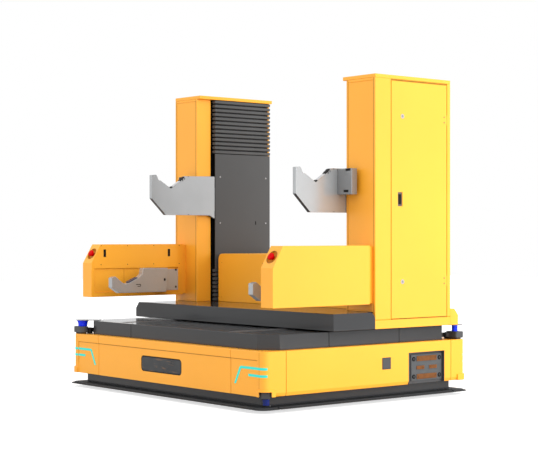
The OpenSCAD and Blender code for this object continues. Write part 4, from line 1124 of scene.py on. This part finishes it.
class VEHICLE_OT_doors(VehicleOperator):
    """Cupboard doors with handle, locks and hinge screws"""

    bl_idname = "vehicle.doors"
    bl_label = "Doors"

    def execute(self, context):
        for side, s in SIDES.items():
            node = "door_" + side
            rounded(node, "paint", 0.0018)
            low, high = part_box(node)
            face = (high[1] if s > 0 else -low[1]) - 0.002
            with shaped("handle_" + side, node, ["handle", "black"], 0.0006) as bm:
                place = upright(s * (face - 0.0062), high[0] - HANDLE_IN, HANDLE_Z)
                prism(bm, slot_outline(0.0370, 0.083, 0.003), place, 0.0012)
                prism(bm, slot_outline(0.0220, 0.060, 0.004), place, 0.0038, 1)
            with shaped("door_locks_" + side, node, ["bright", "black"]) as bm:
                for z in LOCKS_Z:
                    place = turn((high[0] - LOCK_IN, s * (face + 0.0002), z), (0, s, 0))
                    lathe(bm, LOCK, place, 28)
                    # the keyhole is a black slot on the lock's face: painted shade of the hole
                    keyhole = place @ Matrix.Rotation(0.6, 4, "Z")
                    prism(bm, slot_outline(0.0030, 0.0125, 0.0014), keyhole, 0.0013, 1)
            places = [((HINGE_X, s * (face - 0.0004), z), (0, s, 0)) for z in HINGES_Z]
            screws("hinge_screws_" + side, node, places, 0.0042, "cover", 0.0018)
            self.seal(side, s, low, high)
        return {"FINISHED"}

    def seal(self, side, s, low, high):
        """Strips of darkened paint in the opening round the door, on the column: painted shade in the door's
        gaps.
        """
        rear, front = low[0] - DOOR_GAP, high[0] + DOOR_GAP
        foot, top = low[2] - DOOR_GAP, high[2] + DOOR_TOP_GAP
        begin, end = rear + SHADE_STRIP_WIDE, front - SHADE_STRIP_WIDE
        with shaped("door_seal_" + side, "upper_frame", "gap") as bm:
            for x0, x1, z0, z1 in ((end, front, foot, top), (rear, begin, foot, top),
                                   (begin, end, foot, foot + SHADE_STRIP_WIDE),
                                   (begin, end, top - 2.5 * SHADE_STRIP_WIDE, top)):
                brick(bm, (x0, s * SHADE_STRIP_Y[0], z0), (x1, s * SHADE_STRIP_Y[1], z1))


COVER_SCREWS = [(x, z) for x in (-0.199, -0.602) for z in (1.382, 1.068)]
COVER_HOLE = (-0.510, 1.069)


class VEHICLE_OT_lift(VehicleOperator):
    """Lift covers with their screws, and the folded covers above and below"""

    bl_idname = "vehicle.lift"
    bl_label = "Lift covers and bellows"

    def execute(self, context):
        for side, s in SIDES.items():
            node, body = "lift_cover_" + side, "lift_" + side
            plate(node, "cover")
            face = inner_face(node)
            places = [((x, s * (face + SINK), z), (0, -s, 0)) for x, z in COVER_SCREWS]
            screws("lift_cover_screws_" + side, body, places, 0.0052, "bright", 0.002, 0.4)
            # a black patch stands for the hole: painted shade
            with shaped("lift_cover_hole_" + side, body, "black") as bm:
                place = upright(s * (face - 0.0004), *COVER_HOLE)
                prism(bm, slot_outline(0.009, 0.026, 0.0044), place, 0.002)
            self.bellows("high", side, s, sizes().high_folds)
            self.bellows("low", side, s, sizes().low_folds)
        return {"FINISHED"}

    def bellows(self, level, side, s, folds):
        """A thin folded sheet between the column's end and the lift, that it stretches to."""
        node = f"bellows_{level}_{side}"
        low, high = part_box(node)
        x, _, z = middle(node)
        y = s * (inner_face(node) + sizes().fold)
        mesh = fold_tree().run(bpy.data.meshes.new("none"), {
            "Width": high[0] - low[0], "Height": high[2] - low[2], "Folds": folds,
            "Depth": sizes().fold, "Notch": sizes().notch, "Finish": finish("bellows")})
        mesh.transform(upright(y, x, z, -1))
        piece = put(node + "_folds", mesh)
        wall = piece.modifiers.new("sheet", "SOLIDIFY")
        wall.thickness = sizes().sheet
        wall.offset = s
        apply(piece)
        with edited(piece.data) as bm:
            bmesh.ops.remove_doubles(bm, verts=bm.verts, dist=1e-6)
            bmesh.ops.recalc_face_normals(bm, faces=bm.faces)
        smooth(piece.data, FOLD_SHARP)
        fixed, moving = (high[2], low[2]) if level == "high" else (low[2], high[2])
        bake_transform(piece, "upper_frame", "lift_" + side, start=(x, y, fixed), end=(x, y, moving))
        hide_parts(node)


HOOK_INNER, HOOK_THICK = 0.716, 0.027   # an upper hook's inner face, and its plate
SHADE_TILT = 0.3      # how far forward and how far down a hook's faces look, to get dark paint as painted shade
WEAR = [(0.200, 1.3045), (0.138, 1.3440), (0.1400, 1.3475), (0.202, 1.3080)]
WEAR_ENDS = ([(0.228, 1.3045), (0.214, 1.2950), (0.200, 1.3040), (0.203, 1.3095), (0.214, 1.3030)],
             [(0.137, 1.3443), (0.103, 1.3722), (0.106, 1.3770), (0.140, 1.3492)])
DARK_SLOTS = ((0.118, 1.3535, 0.016), (0.103, 1.3620, 0.012), (0.072, 1.3775, 0.007),
        (0.072, 1.1230, 0.006))


class VEHICLE_OT_upper_hooks(VehicleOperator):
    """Upper hooks with their wear strips, black blocks and slots, and sensor boxes"""

    bl_idname = "vehicle.upper_hooks"
    bl_label = "Upper hooks"

    def execute(self, context):
        for side, s in SIDES.items():
            body = "lift_" + side
            # faces that look forward and down get the dark housing paint: painted shade
            plate("upper_hook_" + side, ["hook", "housing"],
                  pick=lambda c, n: int(n.x > SHADE_TILT and n.z < -SHADE_TILT))
            inner = upright(s * HOOK_INNER)
            with shaped("wear_strip_" + side, body, "bright", 0.0005) as bm:
                prism(bm, WEAR, inner, HOOK_THICK)
            # black blocks at the wear strip's ends, and black slots; the slots at the top of the V paint the
            # shade of a notch there
            with shaped("hook_stops_" + side, body, "black") as bm:
                for outline in WEAR_ENDS:
                    prism(bm, outline, inner, HOOK_THICK)
                for x, z, tall in DARK_SLOTS:
                    place = upright(s * (HOOK_INNER - 0.0005), x, z)
                    prism(bm, slot_outline(0.006, tall, 0.0025), place, HOOK_THICK + 0.001)
            self.sensor(side, s, body)
        return {"FINISHED"}

    def sensor(self, side, s, body):
        """The sensor box, with a dark slot near its top and one near its bottom."""
        node = "hook_sensor_" + side
        low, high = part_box(node)
        with shaped(node + "_finished", body, "box", 0.004, 3, node) as bm:
            brick(bm, low, high)
        with shaped("sensor_slots_" + side, body, "black") as bm:
            for y, z in ((0.836, high[2] - 0.0085), (0.819, low[2] + 0.0205)):
                brick(bm, (high[0] - 0.002, s * (y - 0.021), z - 0.0075),
                      (high[0] + 0.0004, s * (y + 0.021), z + 0.0075))


ARM_SCREWS = [(x, z) for x in (0.664, 0.456, 0.245, 0.034) for z in (0.914, 0.791)]
RECESS_X, RECESS_Z = ((0.0425, 0.4765), (0.4790, 0.7135)), (0.6095, 0.7645)
VENTS_X, VENTS_Z = (0.119, 0.6345), (0.8405, 0.8905)
STOP_X, STOP_Y, STOP_Z = 0.70125, 0.926, 0.8621     # a stop's place in the arm's front chamfer
STOP_TILT = (123.0, 0, 72.5)                        # and the way it looks
DISH = [(0.0, -0.0149), (0.0370, -0.0149), (0.0370, -0.0030), (0.0330, -0.0105), (0.0200, -0.0125),
        (0.0, -0.0125)]
DISH_RIM = [(0.0370, -0.0149), (0.0401, -0.0149), (0.0401, 0.0004), (0.0385, 0.0010),
            (0.0370, 0.0004), (0.0370, -0.0149)]
BUTTON = [(0.0, -0.0125), (0.0120, -0.0125), (0.0120, 0.0015), (0.0195, 0.0024), (0.0209, 0.0042),
          (0.0209, 0.0118), (0.0200, 0.0142), (0.0178, 0.0155), (0.0120, 0.0160), (0.0, 0.0160)]


class VEHICLE_OT_arms(VehicleOperator):
    """Forward arms with their cover screws and emergency stops"""

    bl_idname = "vehicle.arms"
    bl_label = "Arms and emergency stops"

    def execute(self, context):
        for side, s in SIDES.items():
            rounded("arm_" + side, "paint", 0.0018)
            face = inner_face("arm_" + side)
            places = [((x, s * (face + SINK), z), (0, -s, 0)) for x, z in ARM_SCREWS]
            screws("arm_screws_" + side, "upper_frame", places, 0.0048, "paint", 0.0022, 0.7)
            self.recess(side, s, face)
            self.vents(side, s, face)
        self.stops()
        return {"FINISHED"}

    def recess(self, side, s, face):
        """Two plates behind the lower hook, with a joint between them."""
        with shaped("arm_recess_" + side, "upper_frame", "paint", 0.0006, 1) as bm:
            for x0, x1 in RECESS_X:
                brick(bm, (x0, s * (face + 0.009), RECESS_Z[0]),
                      (x1, s * (face + 0.012), RECESS_Z[1]))

    def vents(self, side, s, face):
        # black blocks fill the vent slots: painted shade of the openings
        with shaped("arm_vents_" + side, "upper_frame", "black") as bm:
            for x in VENTS_X:
                brick(bm, (x - 0.0095, s * (face - 0.0004), VENTS_Z[0]),
                      (x + 0.0095, s * (face + 0.0078), VENTS_Z[1]))

    def stops(self):
        """A dish in each arm's front chamfer, of darkened paint with a ring of darker paint at its edge,
        both painted shade, with a mushroom button standing in it.
        """
        heads = [turn((STOP_X, s * STOP_Y, STOP_Z), STOP_TILT) for s in SIDES.values()]
        with shaped("stop_collars_finished", "upper_frame", ["collar", "gap"],
                    node="stop_collars") as bm:
            for place in heads:
                lathe(bm, DISH, place, 48)
                lathe(bm, DISH_RIM, place, 48, 1)
        with shaped("stop_buttons_finished", "upper_frame", "red", node="stop_buttons") as bm:
            for place in heads:
                lathe(bm, BUTTON, place, 48)


HOOK_CUT = 0.882                      # where a lower hook ends in front of the arm's recess
MARK_FACE, SHOULDER_FACE = 0.7025, 0.7415   # a lower hook's inner face and its lower step's
# the U-slot's three black bricks: painted shade
U_SLOT_SHADE = (((0.470, 0.6600), (0.504, 0.6645)), ((0.470, 0.6475), (0.492, 0.6520)),
         ((0.4655, 0.6490), (0.4700, 0.6630)))
PAD = [(0.556, 0.6740), (0.489, 0.7037), (0.4925, 0.7100), (0.5590, 0.6805)]


class VEHICLE_OT_lower_hooks(VehicleOperator):
    """Lower hooks that run in the arms"""

    bl_idname = "vehicle.lower_hooks"
    bl_label = "Lower hooks"

    def execute(self, context):
        for side, s in SIDES.items():
            body, face = "low_" + side, s * MARK_FACE
            rounded("lower_hook_" + side, "hook", 0.0016, cut=((0, s * HOOK_CUT, 0), (0, s, 0)))
            with shaped("low_hook_marks_" + side, body, "black") as bm:
                # black patches at a hole, a U-slot and two spots on the step: painted shade in them
                prism(bm, slot_outline(0.015, 0.018, 0.006), upright(face, 0.275, 0.690), 0.002)
                for (x0, z0), (x1, z1) in U_SLOT_SHADE:
                    brick(bm, (x0, face, z0), (x1, face + s * 0.002, z1))
                for z in (0.753, 0.639):
                    place = upright(s * SHOULDER_FACE, 0.156, z)
                    prism(bm, slot_outline(0.013, 0.014, 0.005), place, 0.004)
            with shaped("cradle_pad_" + side, body, "pad", 0.0012) as bm:
                prism(bm, PAD, upright(s * 0.705), 0.037)
        return {"FINISHED"}


BUILDERS = (
    VEHICLE_OT_stage, VEHICLE_OT_base, VEHICLE_OT_front_lights, VEHICLE_OT_charging,
    VEHICLE_OT_scanners, VEHICLE_OT_wheels, VEHICLE_OT_platform, VEHICLE_OT_columns,
    VEHICLE_OT_doors, VEHICLE_OT_lift, VEHICLE_OT_upper_hooks, VEHICLE_OT_arms,
    VEHICLE_OT_lower_hooks,
)
GROUPS = {"vehicle_colours": VehicleColours, "vehicle_sizes": VehicleSizes,
          "vehicle_stage": VehicleStage}


class VEHICLE_PT_panel(bpy.types.Panel):
    bl_label = "Guided vehicle"
    bl_idname = "VEHICLE_PT_panel"
    bl_space_type = "VIEW_3D"
    bl_region_type = "UI"
    bl_category = "Vehicle"

    def draw(self, context):
        layout = self.layout
        for group in GROUPS:
            box = layout.box()
            values = getattr(context.scene, group)
            for name in values.bl_rna.properties.keys():
                if name not in ("name", "rna_type"):
                    box.prop(values, name)
        for builder in BUILDERS:
            layout.operator(builder.bl_idname)


CLASSES = (*GROUPS.values(), *BUILDERS, VEHICLE_PT_panel)


def register():
    for cls in CLASSES:
        bpy.utils.register_class(cls)
    for name, group in GROUPS.items():
        setattr(bpy.types.Scene, name, bpy.props.PointerProperty(type=group))


def unregister():
    for name in GROUPS:
        delattr(bpy.types.Scene, name)
    for cls in reversed(CLASSES):
        bpy.utils.unregister_class(cls)


def main():
    register()
    for builder in BUILDERS:
        group, name = builder.bl_idname.split(".")
        getattr(getattr(bpy.ops, group), name)()


if __name__ == "__main__":
    main()
